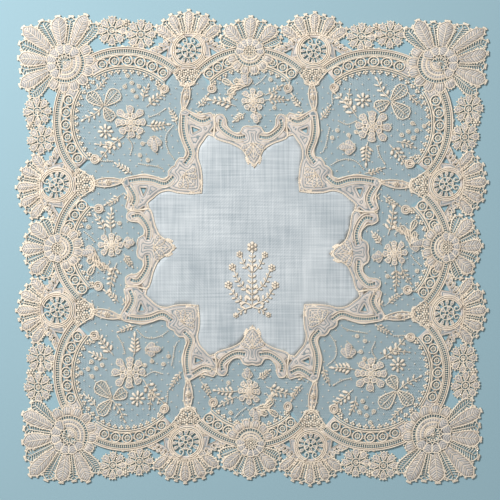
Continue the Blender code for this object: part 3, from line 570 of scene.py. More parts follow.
@dataclass
class Motif:
    """One motif of the lace: its work in each finish, and the outlines that it covers."""

    works: dict = field(default_factory=lambda: {finish: Work() for finish in Finish})
    outlines: list = field(default_factory=list)

    def include(self, other: "Motif", change: Plane = np.asarray, flip: bool = False) -> None:
        """Add a changed copy of another motif."""
        for finish, work in other.works.items():
            points, faces = work.copied(change, flip).joined()
            if len(points):
                self.works[finish].add(points, faces)

    def both(self) -> list:
        """The motif's outlines and their mirror images."""
        return self.outlines + [mirrored(row) for row in self.outlines]

    def trim(self, covers: Sequence[np.ndarray]) -> None:
        """Take away what lies under other motifs, within their outlines."""
        for finish, work in self.works.items():
            points, faces = work.joined()
            if len(points) == 0:
                continue
            middles = points[faces].mean(axis=1)[:, :2]
            low, high = middles.min(axis=0), middles.max(axis=0)
            keep = np.ones(len(faces), dtype=bool)
            for cover in covers:
                if np.any(cover.max(axis=0) < low) or np.any(cover.min(axis=0) > high):
                    continue
                keep &= ~inside(middles, cover)
            used, back = np.unique(faces[keep], return_inverse=True)
            fresh = Work()
            if len(used):
                fresh.add(points[used], back.reshape(-1, 3))
            self.works[finish] = fresh

    def lift(self, height: float) -> None:
        """Raise all the work."""
        for work in self.works.values():
            work.points = [points + (0.0, 0.0, height, 0.0, 0.0) for points in work.points]

    def fan(self, leaves: Sequence[Leaf], covers: Sequence[np.ndarray], lobes: int) -> None:
        """Work both halves of a fan of leaves, the closed ones lying over the open ones."""
        rims = []
        for row in sorted(leaves, key=lambda leaf: not leaf.closed):
            for turn in sorted({row.turn, -row.turn}):
                part = Motif()
                foot = turned([(0.0, row.start)], turn)[0]
                rim = part.leaf(foot, turn, row.reach - row.start, row.width, row.closed, lobes)
                part.trim([*covers, *rims])
                if row.closed:
                    rims.append(rim)
                self.include(part)
                self.outlines.append(rim)

    def floret(self, at: Sequence, radius: float, lobes: int, base: float = 0.4) -> None:
        """Work a small round flower."""
        for index in range(lobes):
            turn = index * 360.0 / lobes
            foot = turned([(0.0, radius * 0.22)], turn)[0] + np.array(at)
            self.petal(foot, turn, radius * 0.8, radius * 0.72, 0.45, 3, base, Finish.CORD)
        self.bead(at, radius * 0.26, base + 0.5)

    def cord(self, path: Sequence, radius: float = CORD, height: float = CORD_HEIGHT,
             closed: bool = False, sides: int = 5, finish: Finish = Finish.CORD) -> None:
        """Lay a thread along a path at one height, or at a height for each place."""
        line = np.asarray(path, dtype=float)
        lifted = np.column_stack((line, np.broadcast_to(height, (len(line),))))
        self.works[finish].add(*tube(lifted, radius, sides, closed))

    def bead(self, at: Sequence, radius: float, height: float = 0.8,
             finish: Finish = Finish.CORD) -> None:
        """Set a knot of thread at a place."""
        points, faces = PATTERNS["bead"]
        self.works[finish].add(points * radius * (1, 1, 0.8) + (at[0], at[1], height), faces)

    def ring(self, at: Sequence, radius: float, thread: float = CORD,
             height: float = CORD_HEIGHT) -> None:
        """Lay a ring of thread."""
        points, faces = PATTERNS["ring"]
        reach = np.linalg.norm(points[:, :2], axis=1)[:, None]
        flat = points[:, :2] / reach * (radius + (reach - 1.0) * thread / 0.2)
        level = points[:, 2] * thread / 0.2
        self.works[Finish.CORD].add(np.column_stack((flat + np.array(at[:2]), level + height)), faces)

    def ladder(self, path: Sequence, half: float, pitch: float, thread: float = FINE,
               height: float = 0.75) -> None:
        """Lay two threads beside a path, with bars across."""
        line = smooth(path, 2.0)
        offset = across(line) * half
        for way in (1, -1):
            self.cord(line + offset * way, thread, height + 0.1)
        marks = evenly(line, pitch)
        bars = across(marks) * half
        for mark, bar in zip(marks[1:-1], bars[1:-1]):
            self.cord((mark - bar, mark + bar), BAR, height, sides=4)

    def cloth(self, outline: Sequence, holes: Iterable = (), rise: float = 0.45,
              edge: float = 1.6, pitch: float = 2.2, base: float = CLOTH_HEIGHT,
              finish: Finish = Finish.TOILE, grain: Plane = None) -> None:
        """Work close cloth inside an outline, a little domed away from its edges.

        Args:
            outline: Closed outline of the cloth.
            holes: Closed outlines left open in it.
            rise: Height of its middle over its edges.
            edge: Width of the slope along its edges.
            pitch: Distance between the points of its surface.
            base: Height of its underside.
            finish: What it is worked in.
            grain: Where a place lies across and along the stitches; without it the rows
                follow the edges.
        """
        loops = [np.asarray(row, dtype=float) for row in [outline, *holes]]
        low, high = loops[0].min(axis=0), loops[0].max(axis=0)
        columns, rows = (np.arange(low[axis], high[axis], pitch) for axis in (0, 1))
        grid = np.stack(np.meshgrid(columns, rows), axis=-1).reshape(-1, 2)
        keep = inside(grid, loops[0])
        gap = rim_distance(grid, loops[0])
        for hole in loops[1:]:
            keep &= ~inside(grid, hole)
            gap = np.minimum(gap, rim_distance(grid, hole))
        extra = grid[keep & (gap > pitch * 0.4)]
        corners, edges = [], []
        for loop in loops:
            first = len(corners)
            corners += [Vector(row) for row in loop]
            edges += [(first + one, first + (one + 1) % len(loop)) for one in range(len(loop))]
        corners += [Vector(row) for row in extra]
        found = geometry.delaunay_2d_cdt(corners, edges, [], 0, 1e-5, False)
        flat = np.array([tuple(row) for row in found[0]])
        faces = np.array([tuple(row) for row in found[2]], dtype=int)
        middles = flat[faces].mean(axis=1)
        kept = inside(middles, loops[0])
        for hole in loops[1:]:
            kept &= ~inside(middles, hole)
        self.slab(flat, faces[kept], loops, (rise, edge, base), finish, grain)

    def slab(self, flat: np.ndarray, faces: np.ndarray, loops: list, sizes: tuple,
             finish: Finish, grain: Plane) -> None:
        """Give a patch of triangles an underside, walls and a domed top."""
        rise, edge, base = sizes
        gap = np.min([rim_distance(flat, loop) for loop in loops], axis=0)
        share = np.clip(gap / edge, 0.0, 1.0)
        top = base + 0.3 + rise * np.sin(share * math.pi / 2)
        count = len(flat)
        points = np.vstack((np.column_stack((flat, top)),
                            np.column_stack((flat, np.full(count, base)))))
        seen = {}
        for one, two, three in faces:
            for pair in ((one, two), (two, three), (three, one)):
                seen[pair] = True
        walls = []
        for one, two in seen:
            if (two, one) not in seen:
                walls += [(one, one + count, two + count), (one, two + count, two)]
        parts = [faces, faces[:, ::-1] + count]
        if walls:
            parts.append(np.array(walls))
        rows = np.column_stack((np.zeros(count), gap)) if grain is None else grain(flat)
        self.works[finish].add(points, np.vstack(parts), np.tile(rows, (2, 1)))

    def petal(self, foot: Sequence, turn: float, length: float, width: float, rise: float = 0.7,
              rows: int = 7, base: float = 0.3, finish: Finish = Finish.TOILE,
              rim: float = 0.0) -> None:
        """Work a plump petal from its foot, with a groove along its middle.

        Args:
            foot: Place of its foot.
            turn: Direction that it points in.
            length: From foot to tip.
            width: Widest place.
            rise: Height of its two halves over the rim.
            rows: Number of rows between its ends.
            base: Height of its underside.
            finish: What it is worked in.
            rim: Width of the thread round it, or none.
        """
        shares = np.linspace(0.0, 1.0, rows + 2)
        half = np.interp(shares, *np.array(LEAF_PROFILE).T) * width / 2
        half[0] = 0.0
        swell = np.sin(np.pi * np.clip(shares, 0.02, 0.98)) ** 0.5
        points = [(0.0, 0.0, base + 0.2)]
        for share, reach, lift in zip(shares[1:-1], half[1:-1], swell[1:-1]):
            for way, height in ((-1, 0.0), (-0.55, 1.0), (0, 0.55), (0.55, 1.0), (1, 0.0)):
                points.append((reach * way, share * length, base + 0.25 + rise * lift * height))
        points.append((0.0, length, base + 0.2))
        grid = [list(range(1 + 5 * row, 6 + 5 * row)) for row in range(rows)]
        tip = len(points) - 1
        faces = [(0, two, one) for one, two in zip(grid[0], grid[0][1:])]
        faces = [face[::-1] for face in faces]
        for low, high in zip(grid, grid[1:]):
            faces += strip_faces(low, high)
            faces += [(low[4], low[0], high[0]), (low[4], high[0], high[4])]
        faces += fan_faces(grid[-1], tip)
        faces += [(0, grid[0][0], grid[0][4]), (grid[-1][4], grid[-1][0], tip)]
        solid = np.array(points)
        plan = placed(solid[:, :2], foot, turn)
        self.works[finish].add(np.column_stack((plan, solid[:, 2])), np.array(faces), solid[:, :2])
        if rim:
            sides = [grid[row][0] for row in range(rows)], [grid[row][4] for row in range(rows)]
            loop = [0, *sides[0], tip, *sides[1][::-1]]
            self.cord(plan[loop], rim, base + 0.45, closed=True)

    def fern(self, row: Fern, at: Sequence = (0.0, 0.0)) -> None:
        """Work a stem with leaflets in pairs and one at its end."""
        root, end = np.array((row.along, row.out)), np.array((row.end_along, row.end_out))
        run = end - root
        length = float(np.linalg.norm(run))
        bow = np.array((run[1], -run[0])) / length * row.bend
        stem = smooth((root, (root + end) / 2 + bow, end), 2.5) + np.array(at)
        self.cord(stem, FINE, 0.7)
        heading = math.degrees(math.atan2(run[0], run[1]))
        marks = evenly(stem, length / (row.pairs + 0.6))[:row.pairs + 1]
        for index, mark in enumerate(marks[1:] if row.pairs > 1 else marks):
            size = row.leaf * (1.0 - 0.1 * index)
            for way in (1, -1):
                self.petal(mark, heading + way * 48, size, size * 0.42, 0.5, 3, 0.35, Finish.CORD)
        self.petal(stem[-1] - run / length, heading, row.leaf * 0.9, row.leaf * 0.4, 0.5, 3, 0.35,
                   Finish.CORD)

    def leaf(self, foot: Sequence, turn: float, length: float, width: float, closed: bool,
             lobes: int = 0) -> np.ndarray:
        """Work one leaf of a fan, closed or open, corded and with picots round its tip."""
        rows = max(9, int(length / 2.2))
        shares = np.linspace(0.0, 1.0, rows + 1)
        half = np.interp(shares, *np.array(LEAF_PROFILE).T) * width / 2
        side = np.column_stack((half, shares * length))
        rim = np.vstack((side[:-1], [(0.0, length)], mirrored(side)[:-1][::-1]))
        there = placed(rim, foot, turn)
        if closed:
            self.cloth(there, rise=0.5, edge=width * 0.3, pitch=2.4,
                       grain=lambda flat: turned(flat - np.array(foot), -turn))
        middle = placed([(0.0, length * share) for share in (0.0, 0.3, 0.6, 0.88)], foot, turn)
        self.cord(middle, FINE if closed else CORD * 0.8, (0.9, 1.3, 1.3, 0.9))
        self.cord(there, CORD, 0.85, closed=True)
        reach = np.array(LEAF_PROFILE).T
        if closed:
            for share in np.arange(0.2, 0.8, 3.4 / length):
                wide = np.interp(share + 0.16, *reach) * width / 2 * 0.9
                for way in (1, -1):
                    vein = [(0.0, length * share), (way * wide * 0.55, length * (share + 0.07)),
                            (way * wide, length * (share + 0.17))]
                    self.cord(placed(vein, foot, turn), 0.2, (1.15, 1.2, 0.85), sides=4)
        else:
            for share in np.arange(0.08, 0.92, 2.0 / length):
                wide = np.interp(min(share + 0.08, 1.0), *reach) * width / 2
                for way in (1, -1):
                    lean = length * (share + 0.08)
                    bar = [(0.0, length * share), (way * wide, min(lean, length * 0.97))]
                    self.cord(placed(bar, foot, turn), BAR, 0.6, sides=4)
                    if wide > 2.5:
                        knot = (way * wide * 0.55, length * (share + 0.045))
                        self.bead(placed([knot], foot, turn)[0], 0.55, 0.6)
        for share in np.arange(0.36, 0.66, 2.3 / length):
            wide = np.interp(share, *reach) * width / 2 + 0.45
            for way in (1, -1):
                self.bead(placed([(way * wide, length * share)], foot, turn)[0], 0.68, 0.6)
        for step in range(lobes):
            share = 0.66 + 0.3 * step / max(1, lobes - 1)
            wide = np.interp(share, *reach) * width / 2 - 0.7
            for way in (1, -1):
                at = placed([(way * wide, length * share)], foot, turn)[0]
                self.petal(at, turn + way * (62 - 44 * step / max(1, lobes - 1)), 2.7, 2.3, 0.4, 3,
                           0.5, Finish.CORD)
        if lobes:
            self.petal(placed([(0.0, length - 1.4)], foot, turn)[0], turn, 2.9, 2.6, 0.4, 3, 0.5,
                       Finish.CORD)
        return there


@dataclass
class Rose(Motif):
    """A rose seen from above, its leaves fanned outwards and its skirt ruffled inwards."""

    leaves: tuple[Leaf, ...] = CORNER_FAN
    crown: float = 15.5
    skirt: float = 25.0
    half_turn: float = 92.0
    lobes: int = 7
    slits: float = 15.6
    eye: float = 5.8
    crescent_eye: bool = True
    tip_lobes: int = 4

    def work(self) -> "Rose":
        """Work the whole rose and return it."""
        crown = arc((0, 0), self.crown, -self.half_turn, self.half_turn, 17)
        self.skirt_lobes()
        silhouette = [np.vstack((crown, [(0.0, 0.0)])), circle((0, 0), self.slits + 1.0, 28)]
        self.fan(self.leaves, silhouette, self.tip_lobes)
        self.outlines += silhouette
        self.slit_row()
        self.heart()
        return self

    def skirt_lobes(self) -> None:
        """Work the ruffled lobes of the skirt, each domed and veined."""
        step = (360.0 - 2 * self.half_turn) / self.lobes
        foot = self.slits + 1.4
        for index in range(self.lobes):
            first = self.half_turn + step * index + 1.0
            last = first + step - 2.0
            turns = np.linspace(first, last, 9)
            bulge = np.sin(np.linspace(0.0, math.pi, 9)) ** 0.6
            reach = self.skirt * (0.86 + 0.14 * bulge)
            edge = np.column_stack((np.sin(np.radians(turns)), np.cos(np.radians(turns))))
            inner = arc((0, 0), foot, last, first, 5)
            rim = np.vstack((edge * reach[:, None], inner))
            self.cloth(rim, rise=0.7, edge=2.6, pitch=1.9, grain=self.round_grain)
            self.cord(rim, CORD, 0.9, closed=True)
            self.outlines.append(rim)
            for share in (0.2, 0.4, 0.6, 0.8):
                way = turned([(0.0, 1.0)], first + (last - first) * share)[0]
                self.cord((way * (foot + 0.6), way * self.skirt * 0.86), FINE * 0.8, (1.0, 1.35),
                          sides=4)
            for turn in turns[1::2]:
                self.bead(turned([(0.0, self.skirt + 0.3)], turn)[0], 0.75, 0.7)

    @staticmethod
    def round_grain(flat: np.ndarray) -> np.ndarray:
        """Stitches that run round the middle: across is the radius, along is the turn."""
        reach = np.linalg.norm(flat, axis=1)
        return np.column_stack((reach * 0.2, np.arctan2(flat[:, 0], flat[:, 1]) * reach.mean()))

    def slit_row(self) -> None:
        """Work the row of dark radial slits between heart and skirt."""
        inner, outer = self.slits - 1.5, self.slits + 1.4
        for radius in (inner, outer):
            path = arc((0, 0), radius, self.half_turn, 360 - self.half_turn, 22)
            self.cord(path, FINE, 0.9)
        for turn in np.arange(self.half_turn, 361 - self.half_turn, 125.0 / self.slits):
            way = turned([(0.0, 1.0)], turn)[0]
            self.cord((way * inner, way * outer), FINE, 0.8, sides=4)

    def heart(self) -> None:
        """Work the crown petals, the long inner petals and the eye."""
        inner = self.slits - 1.9
        start = self.eye + 0.9
        for turn in (-90, 90, -60, 60, -30, 30, 0):
            foot = turned([(0.0, start)], turn)[0]
            self.petal(foot, turn, self.crown - start + 0.8, self.crown * 0.52, 0.7, 6, 0.6,
                       rim=CORD)
        count = max(2, int((inner - start) / 3.1))
        width = (inner - start) / count
        for index in range(count):
            radius = start + width * (index + 0.5)
            path = arc((0, 0), radius, 112 - 5 * index, 248 + 5 * index, 13)
            rim = band(path, width / 2 - 0.35)
            self.cloth(rim, rise=0.7, edge=1.4, pitch=1.5, base=0.5 + 0.1 * index,
                       grain=self.round_grain)
            self.cord(rim, CORD * 0.9, 1.0 + 0.1 * index, closed=True)
        self.ring((0.0, 0.0), self.eye + 0.2, CORD, 1.1)
        if self.crescent_eye:
            for turn in (-215, 180, 215):
                foot = turned([(0.0, 0.6)], turn)[0]
                self.petal(foot, turn, self.eye - 1.0, 4.4, 0.7, 5, 0.8, rim=FINE)
            for turn in range(-78, 79, 26):
                way = turned([(0.0, 1.0)], turn)[0]
                self.bead(way * (self.eye - 1.1), 0.75, 1.0)
                self.cord((way * 1.2, way * (self.eye - 1.0)), BAR, 0.8, sides=4)
            self.bead((0.0, 0.6), 1.1, 1.0)
        else:
            self.bead((0.0, 0.0), 1.1, 1.0)
            for turn in range(0, 360, 45):
                way = turned([(0.0, 1.0)], turn)[0]
                self.bead(way * (self.eye - 1.2), 0.65, 1.0)
                self.cord((way * 0.8, way * self.eye), BAR, 0.8, sides=4)


@dataclass
class Medallion(Motif):
    """A wheel in an onion-shaped band, with wings, a leaf fan and the chain inwards."""

    body: tuple = (
        (0.0, 14.5), (-9.0, 13.8), (-17.5, 10.2), (-24.5, 5.0), (-32.5, 2.2), (-28.5, -3.0),
        (-20.5, -9.0), (-13.5, -17.0), (-8.0, -24.0), (-4.0, -30.0),
    )
    chain: tuple = ((0.0, -28.0), (-1.2, -41.0), (-2.6, -53.0))
    chain_half: float = 2.6
    onion: float = 13.0
    wheel: float = 6.0
    flower: tuple = (0.0, -22.5)
    leaves: tuple[Leaf, ...] = MEDALLION_FAN

    def work(self) -> "Medallion":
        """Work the whole medallion and return it."""
        half = np.array(self.body)
        rim = np.vstack((half, mirrored(half)[::-1][:-1]))
        self.fan(self.leaves, [rim], 3)
        self.outlines.append(rim)
        self.wings(rim)
        self.middle()
        self.cluster()
        self.divider()
        return self

    def wings(self, rim: np.ndarray) -> None:
        """Work the feathered wings with their dark gaps and dashed rows."""
        holes = [circle((0, 0.6), self.onion - 1.6, 22),
                 np.array([(-13.0, -15.6), (0.0, -15.4), (13.0, -15.6), (8.4, -23.6),
                           (3.6, -29.4), (-3.6, -29.4), (-8.4, -23.6)])]
        for way in (1, -1):
            for radius in (16.2, 18.4, 20.6):
                turns = (way * 112, way * (172 - radius))
                strip = band(arc((0, 0.6), radius, *turns, 9), 0.75)
                holes.append(strip)
                for mark in evenly(arc((0, 0.6), radius, *turns, 9), 1.9):
                    self.bead(mark, 0.5, 0.8)
            for gap in (((-15.6, 9.4), (-20.4, 6.4), (-16.6, 5.2)),
                        ((-22.0, 5.0), (-28.2, 2.2), (-22.6, 1.2)),
                        ((-17.8, 2.6), (-25.2, -1.6), (-19.2, -5.4))):
                holes.append(np.array(gap) * (way, 1))
        self.cloth(rim, holes, rise=0.35, pitch=2.0)
        self.cord(smooth(rim, 2.0, closed=True), CORD, 0.95, closed=True)
        for hole in holes[1:]:
            self.cord(hole, FINE, 0.9, closed=True)
        for way in (1, -1):
            for row in range(5):
                foot = np.array((-13.6 - 3.2 * row, 6.8 - 1.7 * row)) * (way, 1)
                self.petal(foot, -way * (38 + 9 * row), 6.4, 2.6, 0.5, 4, 0.7, rim=FINE)
            for side in (4.6, 8.4):
                bar = np.array([(-side * 2.2, 12.2 - side * 0.45), (-side * 3.2, 17.0)]) * (way, 1)
                for mark in evenly(bar, 1.9):
                    self.bead(mark, 0.85, 0.8)

    def middle(self) -> None:
        """Work the onion band, the leafy bars and the wheel."""
        for radius, thread in ((self.onion + 1.5, CORD), (self.onion, CORD),
                               (self.onion - 1.5, CORD)):
            self.cord(arc((0, 0.6), radius, 16, 344, 34), thread, 1.15)
        for way in (1, -1):
            curl = np.array([(6.2, 12.6), (3.4, 11.4), (1.6, 8.8), (2.4, 6.4), (4.6, 6.6),
                             (5.0, 8.6), (3.6, 9.0)]) * (way, 1)
            self.cord(smooth(curl, 1.0), CORD, 1.2)
            for turn in (62, 90, 118):
                end = turned([(0.0, self.onion - 1.8)], way * turn)[0]
                foot = turned([(0.0, self.wheel + 0.8)], way * turn)[0]
                self.petal(foot, way * turn, 4.4, 2.4, 0.5, 4, 0.6, rim=FINE)
                self.cord((foot, end), FINE, 0.8)
        for turn in (150, 180, 210):
            foot = turned([(0.0, self.wheel + 0.6)], turn)[0]
            self.petal(foot, turn, 5.0, 3.2, 0.6, 4, 0.6, rim=FINE)
        self.ring((0, 0), self.wheel, CORD, 1.1)
        self.ring((0, 0), 1.7, CORD, 1.1)
        for turn in range(0, 360, 72):
            foot = turned([(0.0, 2.0)], turn)[0]
            self.petal(foot, turn, self.wheel - 2.2, 2.9, 0.5, 4, 0.7, rim=FINE)

    def cluster(self) -> None:
        """Work the round flowers under the body."""
        for along, out, radius in ((0.0, -18.6, 3.4), (5.6, -18.4, 2.9), (10.4, -17.6, 2.4),
                                   (3.2, -23.6, 3.2), (8.0, -22.2, 2.5), (0.0, -29.0, 3.2),
                                   (4.8, -28.2, 2.4)):
            for way in {1, -1 if along else 1}:
                self.floret((way * along, out), radius, 6)
        self.outlines.append(circle(self.flower, 8.0, 12))

    def divider(self) -> None:
        """Work the loop of stems round a leafy sprig, down to the tapes."""
        line = smooth(self.chain, 2.0)
        shares = np.linspace(0.0, 1.0, len(line))
        swell = self.chain_half * (0.25 + 1.15 * np.sin(shares * math.pi) ** 0.8)
        for way in (1, -1):
            self.cord(line + across(line) * swell[:, None] * way, CORD, 0.95)
        rim = np.vstack((line + across(line) * swell[:, None], (line - across(line) * swell[:, None])[::-1]))
        self.outlines.append(rim)
        self.cloth(rim, rise=0.1, pitch=2.4, base=0.2)
        self.fern(Fern(*self.chain[0], *self.chain[2], 6, 3.4))
        self.floret(self.chain[1], 2.6, 6, 0.9)
        self.floret(self.chain[2], 2.8, 6)


@dataclass
class Daisies(Motif):
    """Two eight-petal flowers by the edge, joined by a knot."""

    radius: float = 11.5
    eye: float = 3.7
    knot: tuple = (-105.6, 191.0)

    def work(self) -> "Daisies":
        """Work both flowers and return them."""
        self.cord(DAISY_PLACES, CORD, 0.8)
        for at in DAISY_PLACES:
            self.daisy(np.array(at))
        self.floret(self.knot, 3.4, 6)
        for root, end in (((-103.5, 172.0), (-113.0, 166.0)), ((-103.0, 174.0), (-94.0, 165.5))):
            self.fern(Fern(*root, *end, 3, 4.4))
        return self

    def daisy(self, at: np.ndarray) -> None:
        """Work one flower."""
        self.ring(at, self.eye, CORD, 1.0)
        self.ring(at, self.eye * 0.45, FINE * 1.2, 1.0)
        for turn in range(0, 180, 45):
            reach = turned([(0.0, self.eye)], turn)[0]
            self.cord((at - reach, at + reach), BAR * 0.8, 0.7, sides=4)
        for index in range(8):
            turn = index * 45.0
            foot = turned([(0.0, self.eye + 0.5)], turn)[0] + at
            length = self.radius - self.eye
            self.petal(foot, turn, length, self.radius * 0.46, 0.5, 6, 0.45, rim=CORD)
            vein = turned([(0.0, self.eye + 1.2), (0.0, self.radius - 1.8)], turn) + at
            self.cord(vein, FINE, 1.0, sides=4)
            for way in (-12, 0, 12):
                self.bead(turned([(0.0, self.radius + 0.7)], turn + way)[0] + at, 0.7, 0.7)
            for reach in (self.radius - 1.0, self.radius - 2.8):
                self.bead(turned([(0.0, reach)], turn + 22.5)[0] + at, 0.62, 0.7)
        self.outlines.append(circle(at, self.radius - 0.6, 24))


@dataclass
class RingArc(Motif):
    """A curved tape of rings and ladder stitch, on one side of the outward direction."""

    centre: tuple = (-PANEL_PITCH, PANEL_PITCH)
    outward: float = -45.0
    turns: tuple = CORNER_ARC_TURNS
    ring_turns: tuple = CORNER_RING_TURNS
    curl: tuple = CORNER_CURL
    ring_size: float = 4.3
    curl_size: float = 3.6

    def work(self) -> "RingArc":
        """Work the tape and its curl and return it."""
        first, last = self.outward + self.turns[0], self.outward + self.turns[1]
        count = max(8, int(abs(last - first) / 2.4))

        def run(radius: float, fewer: int = 1) -> np.ndarray:
            """Part of a circle along the tape."""
            return arc(self.centre, radius, first, last, max(3, count // fewer))

        rim = np.vstack((run(CORD_RADIUS - 0.5, 2), run(BAND_RADIUS + BAND_HALF, 2)[::-1]))
        self.outlines += [rim, circle(self.curl, self.curl_size, 12)]
        self.ring_row(run)
        self.cloth(np.vstack((run(BAND_RADIUS + 1.7, 2), run(BAND_RADIUS + BAND_HALF, 2)[::-1])),
                   rise=0.35, edge=0.9, pitch=3.0)
        for radius, thread in ((CORD_RADIUS, CORD), (CORD_RADIUS + 1.6, CORD), (58.2, CORD),
                               (59.3, FINE), (BAND_RADIUS + 1.6, FINE),
                               (BAND_RADIUS + BAND_HALF, CORD)):
            self.cord(run(radius), thread, 1.0)
        for turn in np.arange(first, last, math.copysign(1.75, last - first)):
            ends = np.vstack((arc(self.centre, 59.4, turn, turn, 1),
                              arc(self.centre, BAND_RADIUS + 1.5, turn, turn, 1)))
            self.cord(ends, BAR, 0.75, sides=4)
            self.bead(ends.mean(axis=0), 0.55, 0.75)
        self.spiral(run(CORD_RADIUS + 0.8)[-1])
        return self

    def ring_row(self, run: Callable) -> None:
        """Work the rings between the inner and the outer cords."""
        holes = []
        places = [arc(self.centre, RING_RADIUS, self.outward + turn, self.outward + turn, 1)[0]
                  for turn in self.ring_turns]
        for at in places:
            holes.append(circle(at, self.ring_size * 0.86, 12))
        for one, two in zip(self.ring_turns, self.ring_turns[1:]):
            turn = self.outward + (one + two) / 2
            for radius, way in ((CORD_RADIUS + 2.6, 1), (57.5, -1)):
                holes.append(np.vstack((arc(self.centre, radius, turn - 2.9, turn + 2.9, 2),
                                        arc(self.centre, radius + 3.4 * way, turn, turn, 1))))
        rim = np.vstack((run(CORD_RADIUS + 1.6, 2), run(58.2, 2)[::-1]))
        self.cloth(rim, holes, rise=0.25, edge=0.9, pitch=2.4)
        for at in places:
            self.ring(at, self.ring_size, CORD, 1.1)
            self.ring(at, self.ring_size * 0.47, CORD, 1.0)
            for way in (0, 90):
                reach = turned([(0.0, self.ring_size)], way)[0]
                self.cord((at - reach, at + reach), BAR * 0.8, 0.7, sides=4)
        for hole in holes[len(places):]:
            self.cord(hole, FINE * 0.8, 0.9, closed=True, sides=4)

    def spiral(self, root: np.ndarray) -> None:
        """Work the round head that the tape ends in."""
        at = np.array(self.curl)
        self.cloth(circle(at, self.curl_size, 14), (circle(at, 1.3, 8),), rise=0.5, pitch=1.6)
        self.ring(at, self.curl_size, CORD, 1.0)
        self.ring(at, self.curl_size * 0.6, FINE, 1.1)
        self.bead(at, 0.8, 0.8)
        self.cord(np.vstack((root, at)), CORD, 0.9)


@dataclass
class Tape(Motif):
    """A border tape between net and lawn, with its ladders, eyelets and palmette."""

    half: tuple = SIDE_TAPE
    mirror: Plane = mirrored
    ladders: tuple = (SIDE_LADDER,)
    eyelets: tuple = (SMALL_EYELET,)
    lawn_edge: tuple = SIDE_TAPE[11:]
    palmette: tuple = (0.0, 86.0)
    palmette_turn: float = 180.0
    palmette_size: tuple = (17.0, 12.5)
    ladder_half: float = 1.5

    def work(self) -> "Tape":
        """Work the tape and return it."""
        half = smooth(self.half, 3.0)
        rim = np.vstack((half, self.mirror(half)[::-1][1:-1]))
        self.outlines.append(rim)
        holes = []
        for eyelet in self.eyelets:
            holes += [np.array(eyelet), self.mirror(eyelet)]
        strips = []
        for ladder in self.ladders:
            path = smooth(ladder, 2.5)
            strips += [path, self.mirror(path)]
        holes += [band(path, self.ladder_half) for path in strips]
        self.cloth(rim, holes, rise=0.6, edge=3.0, pitch=2.2)
        self.cord(rim, CORD, 0.9, closed=True)
        for hole in holes[:2 * len(self.eyelets)]:
            self.cord(hole, FINE, 0.9, closed=True)
        for path in strips:
            self.ladder(path, self.ladder_half, 2.0)
            for way in (1, -1):
                offset = path + across(path) * way * (self.ladder_half + 1.9)
                self.cord(offset[1:-1], FINE, 1.25)
        self.leaf(self.palmette, self.palmette_turn, *self.palmette_size, True, 5)
        for side in (-34, 34, -66, 66):
            self.petal(self.palmette, self.palmette_turn + side, self.palmette_size[0] * 0.7, 4.2,
                       0.5, 5, 0.9, rim=FINE)
        for edge in (self.lawn_edge, self.mirror(self.lawn_edge)):
            for mark in evenly(smooth(edge, 2.0), 2.2):
                self.bead(mark, 0.62, 0.85)
        return self


